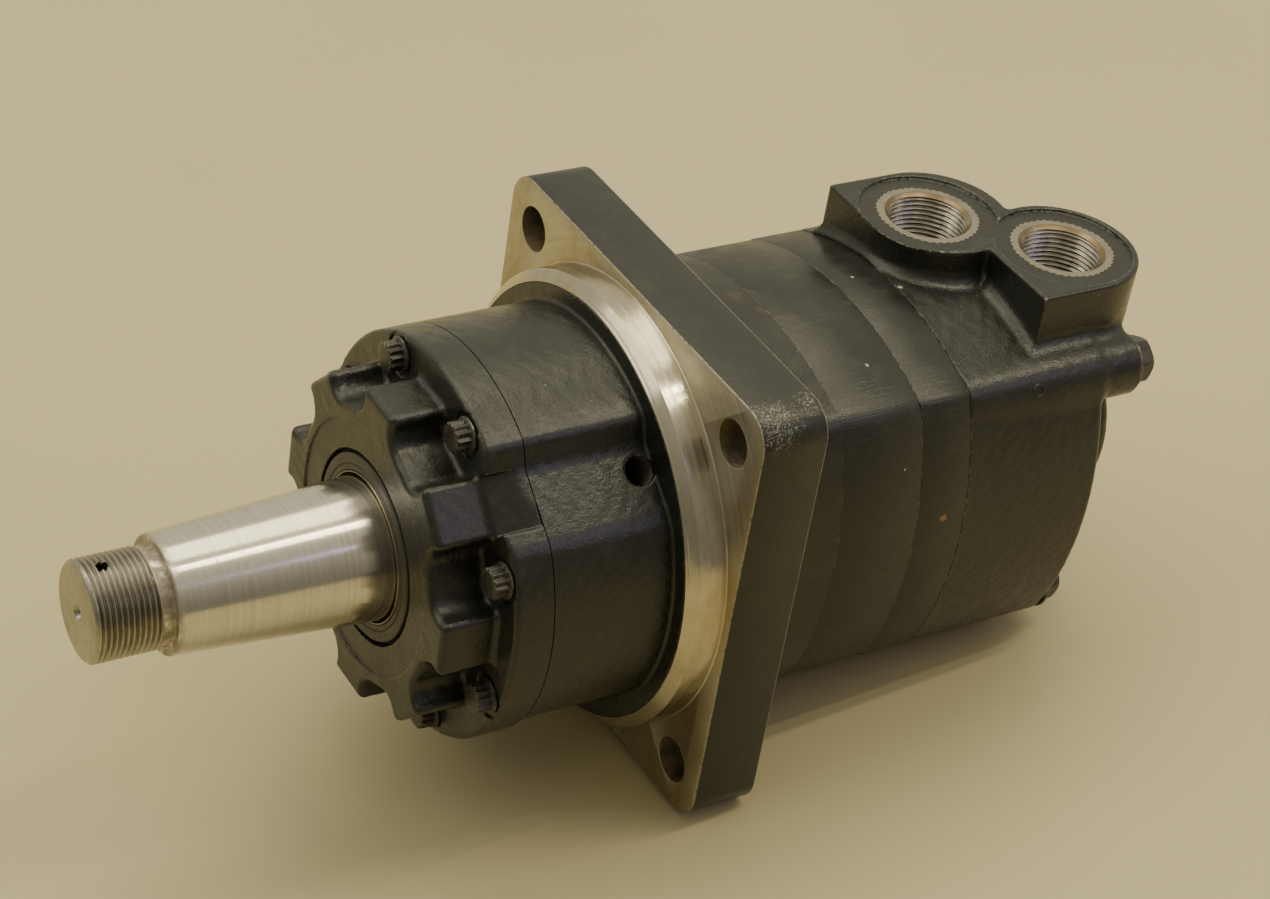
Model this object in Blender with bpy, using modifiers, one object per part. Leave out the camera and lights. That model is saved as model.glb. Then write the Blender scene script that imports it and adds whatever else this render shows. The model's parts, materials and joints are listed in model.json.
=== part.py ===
# Wheel-mount orbital hydraulic motor, modelled as the assembly a fitter would lay out on a bench.
#
# Frame: metres, +Z up. The shaft axis is the X axis, the output shaft points to -X and the
# ports look up (+Z). The origin is the centre of the mounting flange's bearing face.
# All driving dimensions below are in millimetres and are scaled once, by MM.

import math

import bmesh
import bpy
from mathutils import Matrix, Vector

MM = 0.001
GAP = 0.15            # half of the clearance left at every joint face

# facets round a full turn: outer casings, inner pieces, seals
N_OUT = 48
N_IN = 28
N_SEAL = 20

# ---------------------------------------------------------------- driving dimensions, mm
# flange and pilot
FLANGE_HALF = 92.5
FLANGE_T = 27.4
FLANGE_CORNER_R = 13.0
BOLT_CIRCLE = 209.55
FLANGE_HOLE_R = 8.85
PILOT_R = 88.8
PILOT_FRONT_X = -15.0
PILOT_CHAMFER_X = -11.5
PILOT_CHAMFER_R = 84.8
# front housing and retainer
HOUSING_R = 77.4
FRONT_SEAM_X = -64.3
RING_FRONT_X = -80.0
LOBE_FRONT_X = -102.0
LOBE_R = 65.9
LOBE_COUNT = 8
POCKET_FLOOR_R = 54.5
POCKET_HALF_W = 11.6
RETAINER_BC_R = 69.0
RETAINER_BOLT_R = 3.9
SEAL_BORE_R = 37.4
FACE_RECESS_R = 49.0
# flat-bottomed valley beside the case drain, in the plane across its 45 degree direction
VALLEY_ANGLE = 135.0
VALLEY_RIDGE = (74.7, 18.6)
VALLEY_ROOT = (70.8, 9.5)
DRAIN_X = -20.8
DRAIN_R = 5.7
# rear stack (rounded-square section)
STACK_FLAT_R = 74.4
STACK_SIDE_R = 140.0
STACK_CORNER_C = 50.2
STACK_CORNER_R = 14.4
HOUSING_REAR_X = 58.0
RING_REAR_X = 94.0
PLATE_REAR_X = 116.5
BODY_REAR_X = 181.0
BODY_BOLT_C = 52.0
BODY_BOLT_R = 7.0
UPPER_BOSS_X = 199.0
BOSS_R = 12.8
HUMP_R = 43.0
HUMP_X = 213.6
# ports
PORT_TOP_Z = 87.0      # sealing face, at the bottom of a shallow spotface
PORT_RIM_Z = 88.2
PORT_SPOT_R = 27.6
PORT_A = (145.7, 18.7)
PORT_B = (184.3, -18.7)
PORT_R = 15.7
PORT_PAD_R = 30.5
PORT_DEPTH = 23.0
# shaft
SHAFT_END_X = -211.7
THREAD_R = 19.05
TAPER_SMALL_X = -182.8
TAPER_SMALL_R = 22.2
TAPER = 1.0 / 16.0
JOURNAL_R = 28.0
CONE_SEAT_R = 30.5
HUB_R = 36.0
SHAFT_REAR_X = 44.0
# bearings
CUP_R = 48.0
FRONT_BRG = (-62.0, -36.0)
REAR_BRG = (-4.0, 20.0)
BRG_ROLLERS = 12
# gerotor set
ROLLER_COUNT = 9
ROLLER_PITCH_R = 50.0
ROLLER_R = 9.4
ECC = 3.0
STAR_CLEAR = 0.30
SPLINE_N = 10
LINK_PIVOT_X = 6.0
LINK_STAR_X = 70.0
VALVE_STAR_X = 87.0
VALVE_PIVOT_X = 129.0
# valve group
CAVITY_R = 46.0
CAVITY_REAR_X = 145.0


# ---------------------------------------------------------------- scene set-up
for ob in list(bpy.data.objects):
    bpy.data.objects.remove(ob, do_unlink=True)

parts = bpy.data.collections.new("hydraulic_motor")
cutters = bpy.data.collections.new("cutters")
bpy.context.scene.collection.children.link(parts)
bpy.context.scene.collection.children.link(cutters)

# the screw axis of a turned piece is its own Z; this turns it onto the world X axis
TO_X = Matrix.Rotation(math.radians(90.0), 4, "Y")


def material(name, rgb, rough, metal):
    m = bpy.data.materials.new(name)
    m.use_nodes = True
    b = m.node_tree.nodes["Principled BSDF"]
    b.inputs["Base Color"].default_value = (*rgb, 1.0)
    b.inputs["Roughness"].default_value = rough
    b.inputs["Metallic"].default_value = metal
    return m


FINISH = {
    "paint": ((0.035, 0.034, 0.030), 0.45, 0.0),
    "polished": ((0.72, 0.68, 0.62), 0.22, 1.0),
    "steel": ((0.50, 0.49, 0.47), 0.35, 1.0),
    "bolt": ((0.05, 0.05, 0.045), 0.40, 0.3),
    "rubber": ((0.02, 0.02, 0.02), 0.60, 0.0),
    "bearing": ((0.62, 0.62, 0.62), 0.20, 1.0),
    "bronze": ((0.55, 0.38, 0.16), 0.35, 1.0),
}


def put(name, mesh, finish, where=parts, matrix=None, tint=0.0):
    ob = bpy.data.objects.new(name, mesh)
    where.objects.link(ob)
    if matrix is not None:
        ob.matrix_world = matrix
    rgb, rough, metal = FINISH[finish]
    rgb = tuple(min(1.0, c * (1.0 + tint)) for c in rgb)
    if where is cutters:
        ob.hide_render = True
        ob.display_type = "WIRE"
    else:
        mesh.materials.clear()
        mesh.materials.append(material(name, rgb, rough, metal))
    return ob


def smooth(ob, angle=35.0):
    ob.data.shade_smooth()
    ob.data.set_sharp_from_angle(angle=math.radians(angle))


def turned(name, profile, finish="paint", steps=N_IN, where=parts, solid=True, tint=0.0):
    """A turned piece. The profile is (x, r) in millimetres along the shaft axis.

    A solid profile starts and ends on the axis; a ring profile is closed. Both run down the
    outer side, from the high end to the low end, as Screw wants them.
    """
    bm = bmesh.new()
    vs = [bm.verts.new((r * MM, 0.0, x * MM)) for x, r in profile]
    for a, b in zip(vs, vs[1:]):
        bm.edges.new((a, b))
    if not solid:
        bm.edges.new((vs[-1], vs[0]))
    mesh = bpy.data.meshes.new(name)
    bm.to_mesh(mesh)
    bm.free()
    ob = put(name, mesh, finish, where, TO_X, tint)
    sc = ob.modifiers.new("Turn", "SCREW")
    sc.angle = math.tau
    sc.steps = sc.render_steps = steps
    sc.use_merge_vertices = True
    sc.merge_threshold = 0.00001
    sc.use_smooth_shade = False
    return ob


def ring(name, x0, x1, r0, r1, finish, steps=N_IN, where=parts, bevel=0.0, tint=0.0):
    """Plain ring between two faces and two radii, with an optional chamfer outside."""
    c = bevel
    if c:
        p = [(x1, r0), (x1, r1 - c), (x1 - c, r1), (x0 + c, r1), (x0, r1 - c), (x0, r0)]
    else:
        p = [(x1, r0), (x1, r1), (x0, r1), (x0, r0)]
    return turned(name, p, finish, steps, where, solid=False, tint=tint)


def plate(name, outlines, x0, x1, finish="paint", where=parts, tint=0.0):
    """A flat piece: closed outlines in (y, z), the first outside, the rest holes, as a filled
    2D curve extruded between x0 and x1, then made a mesh."""
    cu = bpy.data.curves.new(name, "CURVE")
    cu.dimensions = "2D"
    cu.fill_mode = "BOTH"
    cu.extrude = 0.5 * (x1 - x0) * MM
    for pts in outlines:
        sp = cu.splines.new("POLY")
        sp.points.add(len(pts) - 1)
        for p, (y, z) in zip(sp.points, pts):
            p.co = (-z * MM, y * MM, 0.0, 1.0)
        sp.use_cyclic_u = True
    ob = bpy.data.objects.new(name + "_curve", cu)
    parts.objects.link(ob)
    bpy.context.view_layer.update()
    dg = bpy.context.evaluated_depsgraph_get()
    mesh = bpy.data.meshes.new_from_object(ob.evaluated_get(dg))
    bm = bmesh.new()
    bm.from_mesh(mesh)
    bmesh.ops.remove_doubles(bm, verts=bm.verts, dist=0.000002)
    bmesh.ops.recalc_face_normals(bm, faces=bm.faces)
    bm.to_mesh(mesh)
    bm.free()
    bpy.data.objects.remove(ob, do_unlink=True)
    bpy.data.curves.remove(cu)
    move = Matrix.Translation((0.5 * (x0 + x1) * MM, 0, 0))
    return put(name, mesh, finish, where, move @ TO_X, tint)


def loft(name, sections, finish="steel", where=parts, matrix=None, tint=0.0):
    """Loft between unlike sections with equal point counts: [(x, [(y, z), ...]), ...]."""
    bm = bmesh.new()
    loops = []
    for x, pts in sections:
        loops.append([bm.verts.new((x * MM, y * MM, z * MM)) for y, z in pts])
    for a, b in zip(loops, loops[1:]):
        n = len(a)
        for i in range(n):
            bm.faces.new((a[i], a[(i + 1) % n], b[(i + 1) % n], b[i]))
    bm.faces.new(loops[0])
    bm.faces.new(loops[-1])
    bmesh.ops.recalc_face_normals(bm, faces=bm.faces)
    mesh = bpy.data.meshes.new(name)
    bm.to_mesh(mesh)
    bm.free()
    return put(name, mesh, finish, where, matrix, tint)


def rod(name, centre, direction, r, length, segs=16, where=cutters, finish="steel", r2=None):
    """Cylinder or cone centred on a point, along a direction."""
    bm = bmesh.new()
    q = Vector((0, 0, 1)).rotation_difference(Vector(direction).normalized()).to_matrix().to_4x4()
    bmesh.ops.create_cone(
        bm, cap_ends=True, segments=segs, radius1=r * MM, radius2=(r if r2 is None else r2) * MM,
        depth=length * MM, matrix=Matrix.Translation(Vector(centre) * MM) @ q)
    mesh = bpy.data.meshes.new(name)
    bm.to_mesh(mesh)
    bm.free()
    return put(name, mesh, finish, where)


def rods(name, specs, segs=16):
    """Several separate cylinders in one cutter: (centre, direction, r, length)."""
    bm = bmesh.new()
    for centre, direction, r, length in specs:
        q = Vector((0, 0, 1)).rotation_difference(Vector(direction).normalized()).to_matrix().to_4x4()
        bmesh.ops.create_cone(
            bm, cap_ends=True, segments=segs, radius1=r * MM, radius2=r * MM,
            depth=length * MM, matrix=Matrix.Translation(Vector(centre) * MM) @ q)
    mesh = bpy.data.meshes.new(name)
    bm.to_mesh(mesh)
    bm.free()
    return put(name, mesh, "steel", cutters)


def boolean(ob, other, op="DIFFERENCE"):
    m = ob.modifiers.new(op.title(), "BOOLEAN")
    m.operation = op
    m.solver = "EXACT"
    m.object = other
    return m


def tidy(ob):
    """Merge the flat scraps that the cuts leave, so that flat faces stay simple."""
    m = ob.modifiers.new("Tidy", "DECIMATE")
    m.decimate_type = "DISSOLVE"
    m.angle_limit = math.radians(0.2)
    smooth(ob)


def circle(r, n, cy=0.0, cz=0.0, phase=0.0):
    return [(cy + r * math.cos(phase + math.tau * i / n), cz + r * math.sin(phase + math.tau * i / n))
            for i in range(n)]


def rounded_square(shrink=0.0, corner_steps=4, side_steps=6):
    """The stack's section: sides bowed on a large radius between round corners."""
    pts = []
    c, rc = STACK_CORNER_C, STACK_CORNER_R - shrink
    flat, big = STACK_FLAT_R - shrink, STACK_SIDE_R
    half = c + 1.0
    for q in range(4):
        rot = q * math.pi / 2.0
        side = []
        for i in range(side_steps + 1):
            t = -half + 2 * half * i / side_steps
            side.append((flat - (big - math.sqrt(big * big - t * t)), t))
        for i in range(1, corner_steps):
            a = math.radians(18.0 + 54.0 * i / corner_steps)
            side.append((c + rc * math.cos(a), c + rc * math.sin(a)))
        for y, z in side:
            pts.append((y * math.cos(rot) - z * math.sin(rot), y * math.sin(rot) + z * math.cos(rot)))
    return pts


def splined(n, r_in, r_out, phase=0.0):
    """Outline of a coarse spline: n trapezoidal teeth."""
    pts = []
    for i in range(n):
        a = phase + math.tau * i / n
        for f, r in ((-0.36, r_in), (-0.20, r_out), (0.20, r_out), (0.36, r_in)):
            t = a + f * math.tau / n
            pts.append((r * math.cos(t), r * math.sin(t)))
    return pts


def star_outline(clear, per_lobe=10):
    """Eight-lobed star that meshes with nine rollers: the inward offset of the roller centres'
    path, seen from the star."""
    lobes = ROLLER_COUNT - 1
    n = lobes * per_lobe
    path = []
    for i in range(n):
        t = math.tau * i / n
        path.append(complex(ROLLER_PITCH_R * math.cos(t) - ECC * math.cos(ROLLER_COUNT * t),
                            ROLLER_PITCH_R * math.sin(t) - ECC * math.sin(ROLLER_COUNT * t)))
    out = []
    for i in range(n):
        t = math.tau * i / n
        d = complex(-ROLLER_PITCH_R * math.sin(t) + ECC * ROLLER_COUNT * math.sin(ROLLER_COUNT * t),
                    ROLLER_PITCH_R * math.cos(t) - ECC * ROLLER_COUNT * math.cos(ROLLER_COUNT * t))
        nrm = d / abs(d) * 1j
        p = path[i] + nrm * (ROLLER_R + clear)
        out.append((p.real, p.imag))
    return out


# Everything in the gerotor set is laid out from the first roller, which sits at the top.
TOP = math.pi / 2.0


def turn_pts(pts, a):
    return [(y * math.cos(a) - z * math.sin(a), y * math.sin(a) + z * math.cos(a)) for y, z in pts]


def corner_holes(r, n=16):
    return [circle(r, n, sy * BODY_BOLT_C, sz * BODY_BOLT_C) for sy in (-1, 1) for sz in (-1, 1)]


# ---------------------------------------------------------------- main housing
# front barrel and pilot, turned
main = turned("main_housing", [
    (20.0, 0.0), (20.0, PILOT_R), (PILOT_CHAMFER_X, PILOT_R),
    (PILOT_FRONT_X, PILOT_CHAMFER_R), (PILOT_FRONT_X, HOUSING_R + 0.9), (PILOT_FRONT_X - 0.9, HOUSING_R),
    (FRONT_SEAM_X + GAP, HOUSING_R), (FRONT_SEAM_X + GAP, 0.0)], "paint", steps=N_OUT)


def flange_outline():
    pts = []
    h, r = FLANGE_HALF, FLANGE_CORNER_R
    for q, (sy, sz) in enumerate(((1, 1), (-1, 1), (-1, -1), (1, -1))):
        for i in range(5):
            a = q * math.pi / 2 + math.pi / 2 * i / 4
            pts.append((sy * (h - r) + r * math.cos(a), sz * (h - r) + r * math.sin(a)))
    return pts


hole_c = BOLT_CIRCLE / 2 / math.sqrt(2)
flange = plate("flange_block", [flange_outline()] + [
    circle(FLANGE_HOLE_R, 16, sy * hole_c, sz * hole_c) for sy in (-1, 1) for sz in (-1, 1)],
    0.0, FLANGE_T, where=cutters)
boolean(main, flange, "UNION")
rear = plate("housing_rear_block", [rounded_square(0.0)], 10.0, HOUSING_REAR_X - GAP, where=cutters)
boolean(main, rear, "UNION")

bore = turned("housing_bore", [
    (70.0, 0.0), (70.0, 60.4), (48.0, 60.4), (48.0, CUP_R), (REAR_BRG[0], CUP_R), (REAR_BRG[0], 43.0),
    (FRONT_BRG[1], 43.0), (FRONT_BRG[1], CUP_R), (-90.0, CUP_R), (-90.0, 0.0)], where=cutters)
boolean(main, bore)


def valley(name, x0, x1):
    u1, v1 = VALLEY_RIDGE
    u2, v2 = VALLEY_ROOT
    a = math.radians(VALLEY_ANGLE)
    pts = []
    for u, v in ((u1, v1), (u2, v2), (u1, -v1), (100.0, -v1 - 6.0), (100.0, v1 + 6.0)):
        # u points out along the valley's direction; v lies across it, positive upwards
        pts.append((u * math.cos(a) + v * math.sin(-a) * -1.0, u * math.sin(a) + v * -math.cos(a)))
    return plate(name, [pts], x0, x1, where=cutters)


boolean(main, valley("valley_cut", -90.0, -15.2))

screw_dirs = [math.radians(22.5 + 45.0 * k) for k in range(LOBE_COUNT)]
boolean(main, rods("housing_tapped_holes", [
    ((-55.0, RETAINER_BC_R * math.cos(a), RETAINER_BC_R * math.sin(a)), (1, 0, 0), RETAINER_BOLT_R + 0.35, 22.0)
    for a in screw_dirs], 10))
boolean(main, rods("housing_body_bolt_holes", [
    ((50.0, sy * BODY_BOLT_C, sz * BODY_BOLT_C), (1, 0, 0), BODY_BOLT_R + 0.35, 50.0)
    for sy in (-1, 1) for sz in (-1, 1)], 12))
d45 = Vector((0, -1, 1)).normalized()
boolean(main, rod("case_drain_port", Vector((DRAIN_X, 0, 0)) + d45 * 62.0, d45, DRAIN_R, 48.0, 16))
boolean(main, ring("retainer_o_ring_groove", FRONT_SEAM_X - 1.0, FRONT_SEAM_X + 2.5, 55.6, 59.4, "steel", N_SEAL, cutters))
boolean(main, ring("housing_seal_groove", HOUSING_REAR_X - 1.8, HOUSING_REAR_X + 1.0, 61.6, 64.6, "steel", N_SEAL, cutters))
tidy(main)

# ---------------------------------------------------------------- front retainer
retainer = turned("front_retainer", [
    (FRONT_SEAM_X - GAP, 44.5), (FRONT_SEAM_X - GAP, HOUSING_R), (RING_FRONT_X + 2.4, HOUSING_R),
    (RING_FRONT_X, HOUSING_R - 2.4), (RING_FRONT_X, LOBE_R), (LOBE_FRONT_X + 3.0, LOBE_R),
    (LOBE_FRONT_X, LOBE_R - 3.0), (LOBE_FRONT_X, FACE_RECESS_R), (LOBE_FRONT_X + 0.8, FACE_RECESS_R),
    (LOBE_FRONT_X + 0.8, SEAL_BORE_R), (-80.0, SEAL_BORE_R), (-80.0, 30.5),
    (-76.5, 30.5), (-76.5, 44.5)], "paint", steps=N_OUT, solid=False)


def pockets():
    """Eight U-shaped pockets that leave the castellated lobes between them."""
    bm = bmesh.new()
    for a in screw_dirs:
        base = []
        w, floor, rr = POCKET_HALF_W, POCKET_FLOOR_R, 6.0
        for i in range(3):
            t = math.pi + math.pi / 2 * i / 2
            base.append((floor + rr + rr * math.cos(t), -w + rr + rr * math.sin(t)))
        base = base[::-1]
        mirror = [(u, -v) for u, v in base][::-1]
        outline = base + mirror + [(90.0, w + 6.2), (90.0, -w - 6.2)]
        low = []
        high = []
        for u, v in outline:
            y = u * math.cos(a) - v * math.sin(a)
            z = u * math.sin(a) + v * math.cos(a)
            low.append(bm.verts.new(((LOBE_FRONT_X - 6.0) * MM, y * MM, z * MM)))
            high.append(bm.verts.new((RING_FRONT_X * MM, y * MM, z * MM)))
        n = len(low)
        for i in range(n):
            bm.faces.new((low[i], low[(i + 1) % n], high[(i + 1) % n], high[i]))
        bm.faces.new(low)
        bm.faces.new(high)
    bmesh.ops.recalc_face_normals(bm, faces=bm.faces)
    mesh = bpy.data.meshes.new("retainer_pockets")
    bm.to_mesh(mesh)
    bm.free()
    return put("retainer_pockets", mesh, "steel", cutters)


boolean(retainer, pockets())
boolean(retainer, rods("retainer_bolt_holes", [
    ((-72.0, RETAINER_BC_R * math.cos(a), RETAINER_BC_R * math.sin(a)), (1, 0, 0), RETAINER_BOLT_R + 0.35, 30.0)
    for a in screw_dirs], 10))
boolean(retainer, valley("valley_cut_retainer", -79.0, -50.0))
tidy(retainer)


# ---------------------------------------------------------------- flanged bolts
def flanged_bolt(name, y, z, seat, end, shank_r, flange_r, flange_t, head_r, head_t, toward, finish="bolt"):
    """Bolt along X. toward is -1 when the head looks to -X, +1 when it looks to +X."""
    s = toward
    n = 12
    secs = [
        (end, circle(shank_r - 0.6, n)), (end + s * 1.2, circle(shank_r, n)),
        (seat + s * 0.3, circle(shank_r, n)), (seat + s * 0.3, circle(flange_r, n)),
        (seat + s * (0.3 + flange_t * 0.5), circle(flange_r, n)), (seat + s * (0.3 + flange_t), circle(head_r, n)),
        (seat + s * (0.3 + head_t - 0.8), circle(head_r, n)), (seat + s * (0.3 + head_t), circle(head_r - 0.9, n))]
    return loft(name, secs, finish, matrix=Matrix.Translation((0, y * MM, z * MM)))


for k, a in enumerate(screw_dirs):
    b = flanged_bolt("retainer_bolt_%d" % (k + 1), RETAINER_BC_R * math.cos(a), RETAINER_BC_R * math.sin(a),
                     RING_FRONT_X, -46.0, RETAINER_BOLT_R, 7.1, 2.0, 5.6, 6.2, -1)

# ---------------------------------------------------------------- output shaft
tx = -98.5
shaft = turned("output_shaft", [
    (SHAFT_REAR_X, 0.0), (SHAFT_REAR_X, HUB_R - 1.0), (SHAFT_REAR_X - 1.0, HUB_R), (REAR_BRG[1] + 0.3, HUB_R),
    (REAR_BRG[1] + 0.3, CONE_SEAT_R), (FRONT_BRG[0] - 1.0, CONE_SEAT_R), (FRONT_BRG[0] - 1.0, JOURNAL_R + 1.0),
    (-74.0, JOURNAL_R + 1.0), (-74.6, JOURNAL_R), (tx + 0.6, JOURNAL_R),
    (tx, TAPER_SMALL_R + (tx - TAPER_SMALL_X) * TAPER), (TAPER_SMALL_X, TAPER_SMALL_R), (TAPER_SMALL_X, 18.4),
    (-187.2, 18.4), (-187.6, THREAD_R), (SHAFT_END_X + 1.8, THREAD_R), (SHAFT_END_X, 17.6), (SHAFT_END_X, 0.0)],
    "polished", steps=40)
boolean(shaft, loft("shaft_spline_cut", [(-6.0, splined(SPLINE_N, 17.6, 20.2)), (18.0, splined(SPLINE_N, 17.6, 20.2))],
                    where=cutters))
boolean(shaft, rod("shaft_clearance_bore", (35.0, 0, 0), (1, 0, 0), 21.6, 38.0, 32))
boolean(shaft, rod("centre_drill", (SHAFT_END_X + 1.0, 0, 0), (1, 0, 0), 3.8, 6.0, 14, r2=0.9))
boolean(shaft, rod("cotter_hole", (-203.5, 0, 0), (0, 0, 1), 2.3, 60.0, 10))
# keyway for a parallel key, on the shaft's far side
key_dir = Vector((0, 0, -1.0))
kb = bmesh.new()
bmesh.ops.create_cube(kb, size=1.0, matrix=Matrix.Rotation(math.atan2(-key_dir.y, key_dir.z), 4, "X")
                      @ Matrix.Translation((-141.0 * MM, 0, 24.0 * MM)) @ Matrix.Diagonal((52 * MM, 11.1 * MM, 10.0 * MM, 1.0)))
km = bpy.data.meshes.new("keyway_cut")
kb.to_mesh(km)
kb.free()
boolean(shaft, put("keyway_cut", km, "steel", cutters))
tidy(shaft)

# ---------------------------------------------------------------- seals at the shaft
smooth(turned("dust_seal", [(-95.0, 28.5), (-95.0, 36.6), (-101.0, 36.6), (-101.0, 32.6), (-100.0, 32.0),
                            (-100.0, 28.5)], "rubber", solid=False))
smooth(turned("shaft_seal", [(-85.2, 33.0), (-85.2, 37.1), (-94.4, 37.1), (-94.4, 28.6), (-92.8, 28.4),
                             (-91.6, 31.0), (-91.6, 33.0)], "rubber", solid=False))
smooth(ring("backup_washer", -84.6, -80.4, 28.6, 37.1, "steel"))
smooth(turned("retainer_o_ring", [
    (FRONT_SEAM_X + 1.25 + 1.15 * math.sin(t), 57.5 + 1.3 * math.cos(t))
    for t in [math.pi / 2 - math.tau * i / 6 for i in range(6)]], "rubber", N_SEAL, solid=False))


# ---------------------------------------------------------------- tapered roller bearings
def bearing(prefix, x0, x1, big_end):
    """Cup, cone and caged roller set. big_end is -1 when the rollers' large ends face -X."""
    def q(p):
        if big_end > 0:
            return [(x0 + x1 - x, r) for x, r in p][::-1]
        return p
    w = x1 - x0
    cup = q([(x1 - 0.2, 42.2), (x1 - 0.2, CUP_R - 0.3), (x0 + 2.2, CUP_R - 0.3), (x0 + 2.2, 45.6)])
    cone = q([(x1 - 1.0, CONE_SEAT_R + 0.3), (x1 - 1.0, 34.4), (x0 + 4.0, 37.6), (x0 + 3.6, 40.0),
              (x0 + 0.3, 40.0), (x0 + 0.3, CONE_SEAT_R + 0.3)])
    smooth(turned(prefix + "_bearing_cup", cup, "bearing", solid=False))
    smooth(turned(prefix + "_bearing_cone", cone, "bearing", solid=False))
    # roller axis: between the two raceways
    xa, ra = x0 + 5.2, 41.35
    xb, rb = x1 - 2.4, 38.55
    if big_end > 0:
        xa, xb = x0 + x1 - xa, x0 + x1 - xb
    half = 0.45
    slope = (rb - ra) / (xb - xa)
    lo, hi = min(xa, xb), max(xa, xb)

    def rc(x):
        return ra + slope * (x - xa)
    cage = turned(prefix + "_bearing_rollers", [
        (hi + 0.9, rc(hi + 0.9) - half), (hi + 0.9, rc(hi + 0.9) + half),
        (lo - 0.9, rc(lo - 0.9) + half), (lo - 0.9, rc(lo - 0.9) - half)], "bearing", 36, solid=False)
    bm = bmesh.new()
    for i in range(BRG_ROLLERS):
        a = math.tau * i / BRG_ROLLERS
        pa = Vector((xa, ra * math.cos(a), ra * math.sin(a)))
        pb = Vector((xb, rb * math.cos(a), rb * math.sin(a)))
        d = (pb - pa)
        m = Matrix.Translation((pa + pb) / 2 * MM) @ Vector((0, 0, 1)).rotation_difference(d.normalized()).to_matrix().to_4x4()
        bmesh.ops.create_cone(bm, cap_ends=True, segments=6, radius1=3.25 * MM, radius2=2.9 * MM,
                              depth=d.length * MM, matrix=m)
    mesh = bpy.data.meshes.new(prefix + "_rollers")
    bm.to_mesh(mesh)
    bm.free()
    boolean(cage, put(prefix + "_rollers_cut", mesh, "steel", cutters), "UNION")
    smooth(cage)


bearing("front", FRONT_BRG[0], FRONT_BRG[1], -1)
bearing("rear", REAR_BRG[0], REAR_BRG[1], 1)
smooth(ring("bearing_spacer", FRONT_BRG[1] - 0.6, REAR_BRG[0] + 0.6, CONE_SEAT_R + 0.3, 34.0, "steel"))
nut = turned("bearing_nut", [(-62.3, 31.4), (-62.3, 40.0), (-70.4, 40.0), (-71.4, 39.0), (-71.4, 29.4),
                             (-63.6, 29.4), (-63.6, 31.4)], "steel", solid=False)
slots = bmesh.new()
for i in range(4):
    a = math.tau * i / 4
    bmesh.ops.create_cube(slots, size=1.0, matrix=Matrix.Rotation(a, 4, "X")
                          @ Matrix.Translation((-66.5 * MM, 0, 41.0 * MM)) @ Matrix.Diagonal((14 * MM, 7 * MM, 7 * MM, 1.0)))
sm = bpy.data.meshes.new("nut_slots")
slots.to_mesh(sm)
slots.free()
boolean(nut, put("nut_slots", sm, "steel", cutters))
tidy(nut)

# ---------------------------------------------------------------- wear plate, gerotor set
smooth(ring("wear_plate", 48.3, HOUSING_REAR_X - GAP, 24.0, 60.0, "steel"))


def roller_xy(k):
    a = TOP + math.tau * k / ROLLER_COUNT
    return ROLLER_PITCH_R * math.cos(a), ROLLER_PITCH_R * math.sin(a)


def ring_inner():
    """Inside of the gerotor ring: a round pocket for each roller, joined by arcs."""
    pts = []
    inner = 48.4
    pr = ROLLER_R + 0.35
    # half-angle, seen from the roller centre, at which the pocket meets the inner circle
    d = ROLLER_PITCH_R
    cosb = (inner * inner - d * d - pr * pr) / (2 * d * pr)
    b = math.acos(max(-1.0, min(1.0, cosb)))
    for k in range(ROLLER_COUNT):
        a = TOP + math.tau * k / ROLLER_COUNT
        cy, cz = roller_xy(k)
        for i in range(11):
            t = a - b + 2 * b * i / 10
            pts.append((cy + pr * math.cos(t), cz + pr * math.sin(t)))
        # arc to the next pocket
        y0, z0 = pts[-1]
        a0 = math.atan2(z0, y0)
        a1 = a0 + (2 * (a + math.pi / ROLLER_COUNT) - 2 * a0) % math.tau
        for i in range(1, 3):
            t = a0 + (a1 - a0) * i / 3
            pts.append((inner * math.cos(t), inner * math.sin(t)))
    return pts


gr = plate("geroler_ring", [rounded_square(0.0), ring_inner()] + corner_holes(BODY_BOLT_R + 0.35, 12),
           HOUSING_REAR_X + GAP, RING_REAR_X - GAP, "paint", tint=0.1)
smooth(gr)

for k in range(ROLLER_COUNT):
    cy, cz = roller_xy(k)
    bm = bmesh.new()
    bmesh.ops.create_cone(bm, cap_ends=True, segments=18, radius1=ROLLER_R * MM, radius2=ROLLER_R * MM,
                          depth=(RING_REAR_X - HOUSING_REAR_X - 0.7) * MM, matrix=Matrix.Rotation(math.pi / 2, 4, "Y"))
    mesh = bpy.data.meshes.new("geroler_roller")
    bm.to_mesh(mesh)
    bm.free()
    ob = put("geroler_roller_%d" % (k + 1), mesh, "bearing")
    ob.location = (0.5 * (HOUSING_REAR_X + RING_REAR_X) * MM, cy * MM, cz * MM)
    smooth(ob)

star = plate("geroler_star", [turn_pts(star_outline(STAR_CLEAR), TOP), splined(SPLINE_N, 17.6, 20.2)],
             HOUSING_REAR_X + 0.35, RING_REAR_X - 0.35, "bearing")
star.location.z = ECC * MM
smooth(star)
spacer = ring("star_spacer", 79.3, 80.5, 4.0, 13.0, "steel", 24)
spacer.location.z = ECC * MM
smooth(spacer)


def drive(name, pivot_x, far_x, secs, finish):
    """Dog-bone drive. Its own X axis runs from the pivot on the shaft axis to the star's centre."""
    d = Vector((far_x - pivot_x, 0.0, ECC))
    ang = math.atan2(-d.z, abs(d.x)) if d.x > 0 else math.atan2(d.z, abs(d.x))
    m = Matrix.Translation((pivot_x * MM, 0, 0)) @ Matrix.Rotation(ang, 4, "Y")
    return loft(name, secs, finish, matrix=m)


def tooth(n, r_in, r_out):
    return splined(n, r_in, r_out)


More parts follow.
